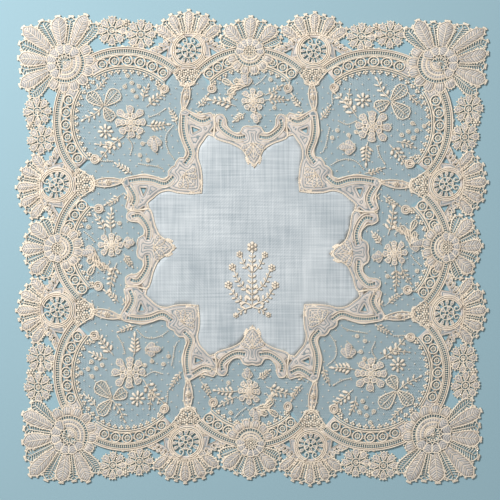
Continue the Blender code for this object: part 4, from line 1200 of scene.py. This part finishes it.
@dataclass
class Net(Motif):
    """A ground of six-sided net with its spray of roses."""

    centre: tuple = (0.0, PANEL_PITCH)
    half: tuple = SIDE_NET_INNER
    mirror: Plane = mirrored
    outer: tuple = (-50.0, 50.0)
    cell: float = NET_CELL
    thread: float = NET_THREAD

    def outline(self) -> np.ndarray:
        """The rim of the net, a little under the tapes round it."""
        half = np.array(self.half)
        outer = arc(self.centre, CORD_RADIUS + 0.6, *self.outer, 36)
        joined = np.vstack((half, outer, self.mirror(half)[::-1]))
        return joined if self.outer[0] < self.outer[1] - 120 else joined

    def ground(self, rim: np.ndarray) -> None:
        """Work the meshes of the net as flat threads."""
        low, high = rim.min(axis=0), rim.max(axis=0)
        side = self.cell / math.sqrt(3.0)
        rows = np.arange(low[1], high[1], 1.5 * side)
        pairs = []
        for index, level in enumerate(rows):
            shift = self.cell / 2 * (index % 2)
            columns = np.arange(low[0], high[0], self.cell) + shift
            foot = np.column_stack((columns, np.full(len(columns), level)))
            top = foot + (0.0, side)
            pairs.append(np.stack((foot, top), axis=1))
            for way in (-0.5, 0.5):
                pairs.append(np.stack((top, top + (self.cell * way, side / 2)), axis=1))
        ends = np.concatenate(pairs)
        ends = ends[inside(ends.mean(axis=1), rim)]
        along = ends[:, 1] - ends[:, 0]
        along /= np.linalg.norm(along, axis=1)[:, None]
        wide = np.column_stack((along[:, 1], -along[:, 0])) * self.thread / 2
        over = along * self.thread / 4
        corners = np.stack((ends[:, 0] - over + wide, ends[:, 1] + over + wide,
                            ends[:, 1] + over - wide, ends[:, 0] - over - wide), axis=1)
        count = len(ends)
        points = np.column_stack((corners.reshape(-1, 2), np.full(4 * count, NET_HEIGHT)))
        first = np.arange(count)[:, None] * 4
        faces = np.concatenate((first + (0, 1, 2), first + (0, 2, 3)))
        self.works[Finish.NET].add(points, faces)

    def knots(self, rim: np.ndarray, pitch: float = 9.5) -> None:
        """Set small knots over the net, in a loose five-spot."""
        low, high = rim.min(axis=0), rim.max(axis=0)
        for index, level in enumerate(np.arange(low[1], high[1], pitch / 2)):
            for place in np.arange(low[0] + pitch / 2 * (index % 2), high[0], pitch):
                at = np.array((place, level))
                if inside(at[None, :], rim)[0] and rim_distance(at[None, :], rim)[0] > 3.0:
                    self.bead(at, 0.6, 0.5)

    def picots(self, first: float, last: float) -> None:
        """Work small three-dot flowers along the inside of the arc."""
        for turn in np.arange(first, last, 7.6):
            at = arc(self.centre, CORD_RADIUS - 2.4, turn, turn, 1)[0]
            for way in (-100, 0, 100):
                spot = turned([(0.0, 1.3)], turn + 180 + way)[0] + at
                self.bead(spot, 0.95, 0.7)
            self.cord((at, arc(self.centre, CORD_RADIUS, turn, turn, 1)[0]), FINE, 0.7, sides=4)

    def garden_rose(self, at: np.ndarray, size: float, turn: float) -> None:
        """Work an open rose: three rings of petals and a coiled middle."""
        for count, start, reach, wide, base in ((8, 0.5, 0.52, 0.46, 0.4), (6, 0.26, 0.4, 0.4, 0.6),
                                                (4, 0.08, 0.26, 0.3, 0.8)):
            for index in range(count):
                way = turn + (index + 0.5 * (count % 4 == 2)) * 360.0 / count
                foot = turned([(0.0, size * start)], way)[0] + at
                grow = 1.3 if count == 8 and index in (0, 1, 7) else 1.0
                self.petal(foot, way, size * reach * grow, size * wide, 0.5, 5, base, rim=CORD)
                vein = turned([(0.0, size * start * 1.2), (0.0, size * (start + reach * 0.7))],
                              way) + at
                self.cord(vein, BAR, base + 0.6, sides=4)
        angles = np.linspace(0, 3.2 * math.pi, 18)
        coil = np.column_stack((np.sin(angles), np.cos(angles))) * (angles / angles[-1])[:, None]
        self.cord(coil * size * 0.15 + at, FINE, 1.5)

    def bouquet(self, ferns: Sequence[Fern], beads: Sequence, berries: Sequence,
                leaves: Sequence[Petal], buds: Sequence[Petal], rose: Sequence,
                size: float) -> None:
        """Work a bouquet on the net from its tables, placed from the circle's centre."""
        middle = np.array(self.centre)
        for row in ferns:
            self.fern(row, middle)
        for path in beads:
            for mark in evenly(smooth(path, 1.5), 1.7):
                self.bead(mark + middle, 0.62, 0.65)
        for berry in berries:
            self.ring(middle + berry, 1.5, FINE * 1.2, 0.7)
            self.bead(middle + berry, 0.8, 0.6)
        for row in leaves:
            self.leaf(middle + (row.along, row.out), row.turn, row.length, row.width, False)
        for row in buds:
            foot = middle + (row.along, row.out)
            for side in (-32, 32, 0):
                self.petal(foot, row.turn + side, row.length * (0.7 if side else 1.0),
                           row.width * 0.62, 0.6, 6, 0.5 + 0.3 * (side == 0), rim=FINE)
        self.garden_rose(middle + rose, size, 0.0)


@dataclass
class SideNet(Net):
    """The net of a side, with its small spray."""

    def work(self) -> "SideNet":
        """Work the net and its spray and return them."""
        rim = self.outline()
        self.ground(rim)
        self.knots(rim)
        self.picots(-44, 45)
        self.bouquet(SIDE_FERNS, SIDE_BEADS, SIDE_BERRIES, SIDE_LEAVES, SIDE_BUDS, SIDE_ROSE, 9.5)
        return self


@dataclass
class CornerNet(Net):
    """The net of a corner, with its large bouquet."""

    centre: tuple = (-PANEL_PITCH, PANEL_PITCH)
    half: tuple = CORNER_NET_INNER
    mirror: Plane = across_corner
    outer: tuple = (-137.0, 47.0)

    def outline(self) -> np.ndarray:
        """The rim of the net, a little under the tapes round it."""
        half = np.array(self.half)
        outer = arc(self.centre, CORD_RADIUS + 0.6, *self.outer, 60)
        return np.vstack((half, self.mirror(half)[::-1][1:], outer))

    def work(self) -> "CornerNet":
        """Work the net and its bouquet and return them."""
        rim = self.outline()
        self.ground(rim)
        self.knots(rim)
        self.picots(-130, 42)
        self.bouquet(CORNER_FERNS, CORNER_BEADS, CORNER_BERRIES, CORNER_LEAVES, (CORNER_BUD,),
                     CORNER_ROSE, 13.0)
        star = np.array(self.centre) + CORNER_STAR
        for index in range(8):
            foot = turned([(0.0, 1.6)], index * 45)[0] + star
            self.petal(foot, index * 45.0, 5.4, 2.6, 0.5, 4, 0.4, Finish.CORD)
        self.bead(star, 1.5, 0.7)
        return self


@dataclass
class Lawn(Motif):
    """The cambric centre with its embroidered sprig."""

    tuck: float = 1.0

    def work(self) -> "Lawn":
        """Work the sheet and its sprig and return them."""
        tape = np.array(SIDE_TAPE)
        bay = np.vstack((tape[::-1][:5], np.array(LAWN_EDGE)))
        quarter = np.vstack((bay[::-1], mirrored(bay)[1:]))[:-1]
        rim = np.vstack([turned(quarter, 90.0 * index) for index in range(4)])
        self.cloth(rim, rise=0.25, edge=4.0, pitch=4.0, base=0.3, finish=Finish.CAMBRIC)
        self.sprig(np.array((0.0, -49.0)))
        return self

    def sprig(self, foot: np.ndarray) -> None:
        """Embroider a plain leafy sprig with small flowers, in padded satin stitch."""
        up = 0.95
        rows = [Fern(0, 0, 0, 30, 5, 8.0, 0.0), Fern(0, 30, 0, 46, 3, 5.0, 0.0)]
        for way in (1, -1):
            rows += [Fern(way, 2, way * 18, 16, 4, 6.0, way * 3.0),
                     Fern(way, 12, way * 15, 31, 4, 5.2, way * 2.4),
                     Fern(way, -1, way * 12, -6, 2, 5.0, -way * 1.4),
                     Fern(way, 30, way * 9, 42, 2, 4.4, way * 1.2)]
        part = Motif()
        for row in rows:
            part.fern(row, foot)
        for along, out, radius in ((0.0, 51.0, 4.8), (20.0, 19.6, 3.6), (17.0, 34.4, 3.4),
                                   (11.0, 45.0, 3.0), (14.0, -7.4, 2.6)):
            for way in {1, -1 if along else 1}:
                part.floret(foot + (way * along, out), radius, 6)
        for way in (1, -1):
            loop = np.array([(0.0, 0.0), (6.0, 3.6), (9.6, 0.6), (6.0, -1.8), (0.0, 0.0)])
            part.cord(smooth(loop * (way, 1) + foot, 1.2), CORD * 1.3, 0.6)
        part.lift(up - 0.35)
        self.include(part)


class Laying:
    """How the drawn pattern lies on the cloth, by thin plate splines."""

    def __init__(self, landmarks: Sequence[Landmark], slack: float, middle: Sequence) -> None:
        """Fit the map to the landmarks.

        Args:
            landmarks: Named points and where they are seen.
            slack: How far the map may stay off them.
            middle: What is taken off at the end, so that the part is centred.
        """
        drawn, seen = [], []
        for row in landmarks:
            drawn.append(turned([(row.along, row.out)], 90.0 * row.side)[0])
            seen.append(((row.pixel_x - PHOTO_MIDDLE[0]) * PIXEL_SIZE,
                         (PHOTO_MIDDLE[1] - row.pixel_y) * PIXEL_SIZE))
        self.drawn = np.array(drawn)
        self.middle = np.array(middle)
        count = len(drawn)
        plane = np.column_stack((np.ones(count), self.drawn))
        system = np.zeros((count + 3, count + 3))
        system[:count, :count] = self.kernel(self.drawn) + slack * np.eye(count)
        system[:count, count:] = plane
        system[count:, :count] = plane.T
        self.weights = np.linalg.solve(system, np.vstack((seen, np.zeros((3, 2)))))

    def kernel(self, points: np.ndarray) -> np.ndarray:
        """The spline's kernel between points and landmarks."""
        squared = ((points[:, None, :] - self.drawn[None, :, :]) ** 2).sum(axis=2)
        return squared * np.log(squared + 1e-9)

    def __call__(self, points: np.ndarray) -> np.ndarray:
        """Where drawn points lie on the finished part."""
        flat = np.asarray(points, dtype=float)
        rows = []
        for chunk in np.array_split(flat, max(1, len(flat) // 8000 + 1)):
            terms = np.column_stack((self.kernel(chunk), np.ones(len(chunk)), chunk))
            rows.append(terms @ self.weights)
        return np.vstack(rows) - self.middle


class Recipe:
    """A node material while it is put together."""

    def __init__(self, name: str) -> None:
        """Start from a plain matt cotton shader."""
        self.made = bpy.data.materials.new(name)
        self.made.use_nodes = True
        self.tree = self.made.node_tree
        self.shader = self.tree.nodes["Principled BSDF"]
        self.shader.inputs["Sheen Weight"].default_value = 0.12
        self.place = self.tree.nodes.new("ShaderNodeTexCoord")

    def put(self, socket: bpy.types.NodeSocket, value: object) -> None:
        """Set a socket to a number or colour, or link it to another socket."""
        if isinstance(value, bpy.types.NodeSocket):
            self.tree.links.new(value, socket)
        else:
            socket.default_value = value

    def node(self, kind: str, settings: dict, **values: object) -> bpy.types.Node:
        """Add a node with its settings and its inputs by name."""
        made = self.tree.nodes.new("ShaderNode" + kind)
        for name, value in settings.items():
            setattr(made, name, value)
        for name, value in values.items():
            self.put(made.inputs[name.replace("_", " ")], value)
        return made

    def sum(self, operation: str, *values: object) -> bpy.types.NodeSocket:
        """The result of a Math node."""
        made = self.node("Math", {"operation": operation})
        for socket, value in zip(made.inputs, values):
            self.put(socket, value)
        return made.outputs["Value"]

    def cloud(self, stretch: Sequence, detail: float = 4.0) -> bpy.types.NodeSocket:
        """Noise on the object's own coordinates, with a scale for each axis."""
        spread = self.node("Mapping", {}, Vector=self.place.outputs["Object"], Scale=stretch)
        noise = self.node("TexNoise", {}, Vector=spread.outputs["Vector"], Scale=1.0,
                          Detail=detail)
        return noise.outputs["Fac"]

    def stripes(self, lean: float, pitch: float) -> bpy.types.NodeSocket:
        """Rows of stitches along the piece's own grain, as chevrons, from 0 to 1."""
        parts = self.node("SeparateXYZ", {}, Vector=self.place.outputs["UV"])
        side = self.sum("ABSOLUTE", parts.outputs["X"])
        row = self.sum("MULTIPLY_ADD", side, -lean, parts.outputs["Y"])
        wave = self.sum("SINE", self.sum("MULTIPLY", row, 2 * math.pi / pitch))
        return self.sum("MULTIPLY_ADD", wave, 0.5, 0.5)

    def twist(self, pitch: float) -> bpy.types.NodeSocket:
        """The turns of a twisted thread, from 0 to 1."""
        parts = self.node("SeparateXYZ", {}, Vector=self.place.outputs["UV"])
        row = self.sum("MULTIPLY_ADD", parts.outputs["X"], 1.0 / pitch, parts.outputs["Y"])
        wave = self.sum("SINE", self.sum("MULTIPLY", row, 2 * math.pi))
        return self.sum("MULTIPLY_ADD", wave, 0.5, 0.5)

    def blend(self, share: object, low: Sequence, high: Sequence,
              ends: Sequence = (0.3, 0.7)) -> bpy.types.NodeSocket:
        """A colour between two, by a share."""
        ramp = self.node("ValToRGB", {}, Fac=share)
        for element, position, colour in zip(ramp.color_ramp.elements, ends, (low, high)):
            element.position = position
            element.color = (*colour, 1.0)
        return ramp.outputs["Color"]

    def finish(self, colour: bpy.types.NodeSocket, rough: bpy.types.NodeSocket,
               height: bpy.types.NodeSocket, range_: Sequence, depth: float) -> None:
        """Link colour, roughness between two values, and relief of a depth in metres."""
        spread = self.node("MapRange", {}, Value=rough, To_Min=range_[0], To_Max=range_[1])
        bump = self.node("Bump", {}, Height=height, Strength=0.8, Distance=depth)
        self.put(self.shader.inputs["Base Color"], colour)
        self.put(self.shader.inputs["Roughness"], spread.outputs["Result"])
        self.put(self.shader.inputs["Normal"], bump.outputs["Normal"])


@dataclass(frozen=True)
class CordFinish:
    """The thick twisted thread round every form."""

    light: tuple = (0.90, 0.79, 0.64)
    dark: tuple = (0.74, 0.62, 0.49)
    pitch: float = 1.1

    def material(self) -> bpy.types.Material:
        """Twisted cream cotton, a little uneven in colour, with painted shade in the grooves between the turns
        of its twist.
        """
        recipe = Recipe("cordonnet")
        twist = recipe.twist(self.pitch)
        age = recipe.cloud((60.0, 60.0, 60.0), 6.0)
        # Painted shade: the twist that raises the relief also makes the grooves between its turns darker and
        # its ridges lighter
        share = recipe.sum("MULTIPLY_ADD", twist, 0.25, recipe.sum("MULTIPLY", age, 0.8))
        colour = recipe.blend(share, self.dark, self.light, (0.28, 0.62))
        recipe.finish(colour, age, twist, (0.62, 0.8), 0.00012)
        return recipe.made


@dataclass(frozen=True)
class ToileFinish:
    """Closely worked cloth with rows of pinholes, painted dark as painted shade of the floor seen through them.
    """

    light: tuple = (0.66, 0.59, 0.53)
    dark: tuple = (0.50, 0.46, 0.43)
    # hole: painted shade, the dark colour of the shaded ground seen through the pinholes
    hole: tuple = (0.20, 0.25, 0.27)
    pitch: float = 2.1
    lean: float = 0.7

    def material(self) -> bpy.types.Material:
        """Pinkish cream cloth with chevron rows, and painted shade in the pinholes along them."""
        recipe = Recipe("toile")
        rows = recipe.stripes(self.lean, self.pitch)
        age = recipe.cloud((70.0, 70.0, 70.0), 6.0)
        grain = recipe.cloud((1900.0, 1900.0, 1900.0), 2.0)
        body = recipe.blend(age, self.dark, self.light, (0.35, 0.62))
        open_rows = recipe.sum("MULTIPLY_ADD", grain, 0.35, rows)
        # Painted shade: where the rows sink into pinholes, the colour turns to the dark hole colour
        pinhole_shade_mask = recipe.blend(open_rows, (0.0, 0.0, 0.0), (1.0, 1.0, 1.0), (0.24, 0.5))
        mix = recipe.node("Mix", {"data_type": "RGBA"})
        recipe.put(mix.inputs[0], pinhole_shade_mask)
        recipe.put(mix.inputs[6], (*self.hole, 1.0))
        recipe.put(mix.inputs[7], body)
        recipe.finish(mix.outputs[2], grain, open_rows, (0.78, 0.92), 0.0003)
        return recipe.made


@dataclass(frozen=True)
class NetFinish:
    """The fine thread of the net."""

    light: tuple = (0.66, 0.70, 0.70)
    dark: tuple = (0.54, 0.60, 0.62)

    def material(self) -> bpy.types.Material:
        """Fine pale thread, dulled by what shows through it."""
        recipe = Recipe("net")
        age = recipe.cloud((90.0, 90.0, 90.0), 5.0)
        grain = recipe.cloud((2500.0, 2500.0, 2500.0), 2.0)
        colour = recipe.blend(age, self.dark, self.light)
        recipe.finish(colour, grain, grain, (0.75, 0.9), 0.0001)
        return recipe.made


@dataclass(frozen=True)
class CambricFinish:
    """Fine sheer linen with slubs along and across."""

    light: tuple = (0.60, 0.64, 0.66)
    dark: tuple = (0.34, 0.39, 0.42)
    threads: float = 2600.0

    def material(self) -> bpy.types.Material:
        """Cool white cloth with the ground showing faintly through its weave."""
        recipe = Recipe("cambric")
        warp = recipe.cloud((700.0, 22.0, 22.0), 3.0)
        weft = recipe.cloud((22.0, 700.0, 22.0), 3.0)
        slubs = recipe.sum("MULTIPLY_ADD", weft, 0.5, recipe.sum("MULTIPLY", warp, 0.5))
        drift = recipe.cloud((28.0, 28.0, 28.0), 2.0)
        share = recipe.sum("MULTIPLY_ADD", drift, 0.35, recipe.sum("MULTIPLY", slubs, 0.65))
        parts = recipe.node("SeparateXYZ", {}, Vector=recipe.place.outputs["Object"])
        across_, along_ = (recipe.sum("SINE", recipe.sum("MULTIPLY", parts.outputs[axis], self.threads))
                           for axis in ("X", "Y"))
        weave = recipe.sum("MULTIPLY", across_, along_)
        height = recipe.sum("MULTIPLY_ADD", weave, 0.3, slubs)
        colour = recipe.blend(share, self.dark, self.light, (0.38, 0.62))
        recipe.finish(colour, slubs, height, (0.78, 0.92), 0.0002)
        return recipe.made


FINISHES = {
    Finish.CORD: CordFinish(),
    Finish.TOILE: ToileFinish(),
    Finish.NET: NetFinish(),
    Finish.CAMBRIC: CambricFinish(),
}


@dataclass
class Handkerchief:
    """All the motifs, copied round the four sides and laid on the solids."""

    frame: dict
    lay: Laying
    materials: dict = field(default_factory=dict)

    def build(self) -> None:
        """Work, copy and lay every motif."""
        self.materials = {finish: thread.material() for finish, thread in FINISHES.items()}
        corner_rose = self.moved(Rose().work(), (-ROSE_PITCH, ROSE_PITCH), -45.0)
        side_rose = self.moved(
            Rose(leaves=SIDE_FAN, crown=11.5, skirt=20.5, half_turn=100.0, lobes=6, slits=11.6,
                 eye=3.4, crescent_eye=False).work(), (0.0, SIDE_ROSE_OUT), 0.0)
        medallion = self.moved(Medallion().work(), (-MEDALLION_ALONG, MEDALLION_OUT), 0.0)
        corner_arc = RingArc().work()
        side_arc = RingArc(centre=(0.0, PANEL_PITCH), outward=0.0, turns=SIDE_ARC_TURNS,
                           ring_turns=SIDE_RING_TURNS, curl=SIDE_CURL).work()
        daisies = Daisies().work()
        side_tape = Tape().work()
        corner_half = np.vstack((np.array(CORNER_TAPE)[::-1], np.array(LAWN_EDGE)[1:]))
        corner_tape = Tape(half=tuple(map(tuple, corner_half)), mirror=across_corner,
                           ladders=(SCROLL_LADDER, LONG_LADDER),
                           eyelets=(BIG_EYELET, SMALL_EYELET), lawn_edge=LAWN_EDGE,
                           palmette=(-60.5, 60.5), palmette_turn=135.0).work()
        over = corner_rose.outlines + side_rose.outlines
        for part in (corner_arc, side_arc):
            part.trim(over)
        over += corner_arc.both() + side_arc.both()
        medallion.trim(over)
        over += medallion.both()
        daisies.trim(over)
        for part in (side_tape, corner_tape):
            part.trim(over)
        over += side_tape.outlines + corner_tape.outlines
        nets = SideNet().work(), CornerNet().work()
        for part in nets:
            part.trim(over)
        lawn = Lawn().work()
        lawn.trim([])
        self.singles("rose", CORNERS, corner_rose, "toile")
        self.singles("rose", SIDES, side_rose, "toile")
        self.pairs("arc_corner", corner_arc, "tape")
        self.pairs("arc_side", side_arc, "tape")
        self.pairs("medallion", medallion, "tape")
        self.pairs("daisies", daisies, "toile")
        self.singles("border", SIDES, side_tape, "tape")
        self.singles("border", CORNERS, corner_tape, "tape")
        self.singles("net", SIDES, nets[0], "net")
        self.singles("net", CORNERS, nets[1], "net")
        self.finished("lawn", lawn, lambda points: points, False, "cambric")

    @staticmethod
    def moved(motif: Motif, at: Sequence, turn: float) -> Motif:
        """A motif turned and moved from its own frame to the drawing's."""
        result = Motif()
        result.include(motif, lambda points: placed(points, at, turn))
        result.outlines = [placed(row, at, turn) for row in motif.outlines]
        return result

    def singles(self, kind: str, names: Sequence[str], motif: Motif, slot: str) -> None:
        """Copy a motif to four places."""
        for index, name in enumerate(names):
            turn = 90.0 * index
            self.finished(f"{kind}_{name}", motif, lambda points: turned(points, turn), False,
                          slot)

    def pairs(self, kind: str, motif: Motif, slot: str) -> None:
        """Copy a motif and its mirror image to the four sides."""
        for index, name in enumerate(SIDES):
            turn = 90.0 * index
            self.finished(f"{kind}_{name}_a", motif, lambda points: turned(points, turn), False,
                          slot)
            self.finished(f"{kind}_{name}_b", motif,
                          lambda points: turned(mirrored(points), turn), True, slot)

    def finished(self, node: str, motif: Motif, change: Plane, flip: bool, slot: str) -> None:
        """Lay one copy of a motif and put it in the place of its solid.

        Args:
            node: Name of the solid.
            motif: What is copied.
            change: Where the copy goes in the drawing.
            flip: Whether it is a mirror image.
            slot: The record's slot of the cloth; not used.
        """
        pieces = {}
        for finish, work in motif.works.items():
            points, faces = work.copied(lambda flat: self.lay(change(flat)), flip).joined()
            points[:, 2] = LOFT + LOFT_SCALE * points[:, 2]
            if len(points):
                pieces[finish] = self.shape(f"{node}_{finish.value}", points, faces, finish)
        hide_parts(node)
        for piece in pieces.values():
            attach(piece, "root")
        LOG.info("%s: %d triangles", node, sum(len(piece.data.polygons) for piece in pieces.values()))

    def shape(self, name: str, points: np.ndarray, faces: np.ndarray,
              finish: Finish) -> bpy.types.Object:
        """Make one object from points and triangles in millimetres."""
        mesh = bpy.data.meshes.new(name)
        mesh.vertices.add(len(points))
        mesh.vertices.foreach_set("co", (points[:, :3] * MM).astype(np.float32).ravel())
        mesh.loops.add(3 * len(faces))
        mesh.loops.foreach_set("vertex_index", faces.astype(np.int32).ravel())
        mesh.polygons.add(len(faces))
        mesh.polygons.foreach_set("loop_start", np.arange(0, 3 * len(faces), 3, dtype=np.int32))
        mesh.polygons.foreach_set("use_smooth", np.ones(len(faces), dtype=bool))
        mesh.update(calc_edges=True)
        grain = mesh.uv_layers.new(name="grain")
        grain.data.foreach_set("uv", points[faces.ravel(), 3:].astype(np.float32).ravel())
        mesh.materials.append(self.materials[finish])
        piece = bpy.data.objects.new(name, mesh)
        bpy.context.scene.collection.objects.link(piece)
        return piece


@dataclass
class Studio:
    """Floor, lights and camera."""

    look_at: tuple = (-0.00191, -0.00191, 0.001)
    distance: float = 1.18
    lens: float = 100.0
    floor_size: float = 3.0
    floor_colour: tuple = (0.28, 0.43, 0.49, 1.0)

    def build(self) -> None:
        """Set up the studio."""
        self.floor()
        self.light("key", (-0.8, 0.75, 1.0), 0.3, 27.0)
        self.light("fill", (0.8, -0.5, 1.4), 1.4, 4.0)
        world = bpy.data.worlds.new("studio")
        bpy.context.scene.world = world
        world.use_nodes = True
        world.node_tree.nodes["Background"].inputs["Color"].default_value = (1.0, 1.0, 1.0, 1.0)
        world.node_tree.nodes["Background"].inputs["Strength"].default_value = 0.25
        bpy.context.scene.view_settings.view_transform = "Standard"
        self.camera()

    def floor(self) -> None:
        """Lay the plain pale floor."""
        bpy.ops.mesh.primitive_plane_add(size=self.floor_size, location=(0, 0, 0))
        floor = bpy.context.object
        floor.name = "floor"
        made = bpy.data.materials.new("floor")
        made.use_nodes = True
        shader = made.node_tree.nodes["Principled BSDF"]
        shader.inputs["Base Color"].default_value = self.floor_colour
        shader.inputs["Roughness"].default_value = 0.9
        floor.data.materials.append(made)

    def light(self, name: str, at: Sequence, size: float, power: float) -> None:
        """Hang one soft square light over the cloth."""
        bpy.ops.object.light_add(type="AREA", location=at)
        lamp = bpy.context.object
        lamp.name = name
        lamp.data.size = size
        lamp.data.energy = power
        lamp.rotation_euler = (-Vector(at)).to_track_quat("-Z", "Y").to_euler()

    def camera(self) -> None:
        """Stand the camera straight over the cloth."""
        bpy.ops.object.camera_add(location=Vector(self.look_at) + Vector((0, 0, self.distance)))
        camera = bpy.context.object
        camera.data.lens = self.lens
        camera.data.sensor_width = 36.0
        camera.data.sensor_fit = "HORIZONTAL"
        camera.data.clip_start = 0.05
        bpy.context.scene.camera = camera


def main() -> None:
    """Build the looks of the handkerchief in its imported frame."""
    logging.basicConfig(level=logging.INFO, format="%(message)s")
    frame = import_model()
    patterns = Patterns()
    PATTERNS["bead"] = patterns.bead
    PATTERNS["ring"] = patterns.ring
    Handkerchief(frame, Laying(LANDMARKS, SPLINE_SLACK, (0.206, 1.064))).build()
    Studio().build()
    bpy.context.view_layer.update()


if __name__ == "__main__":
    main()
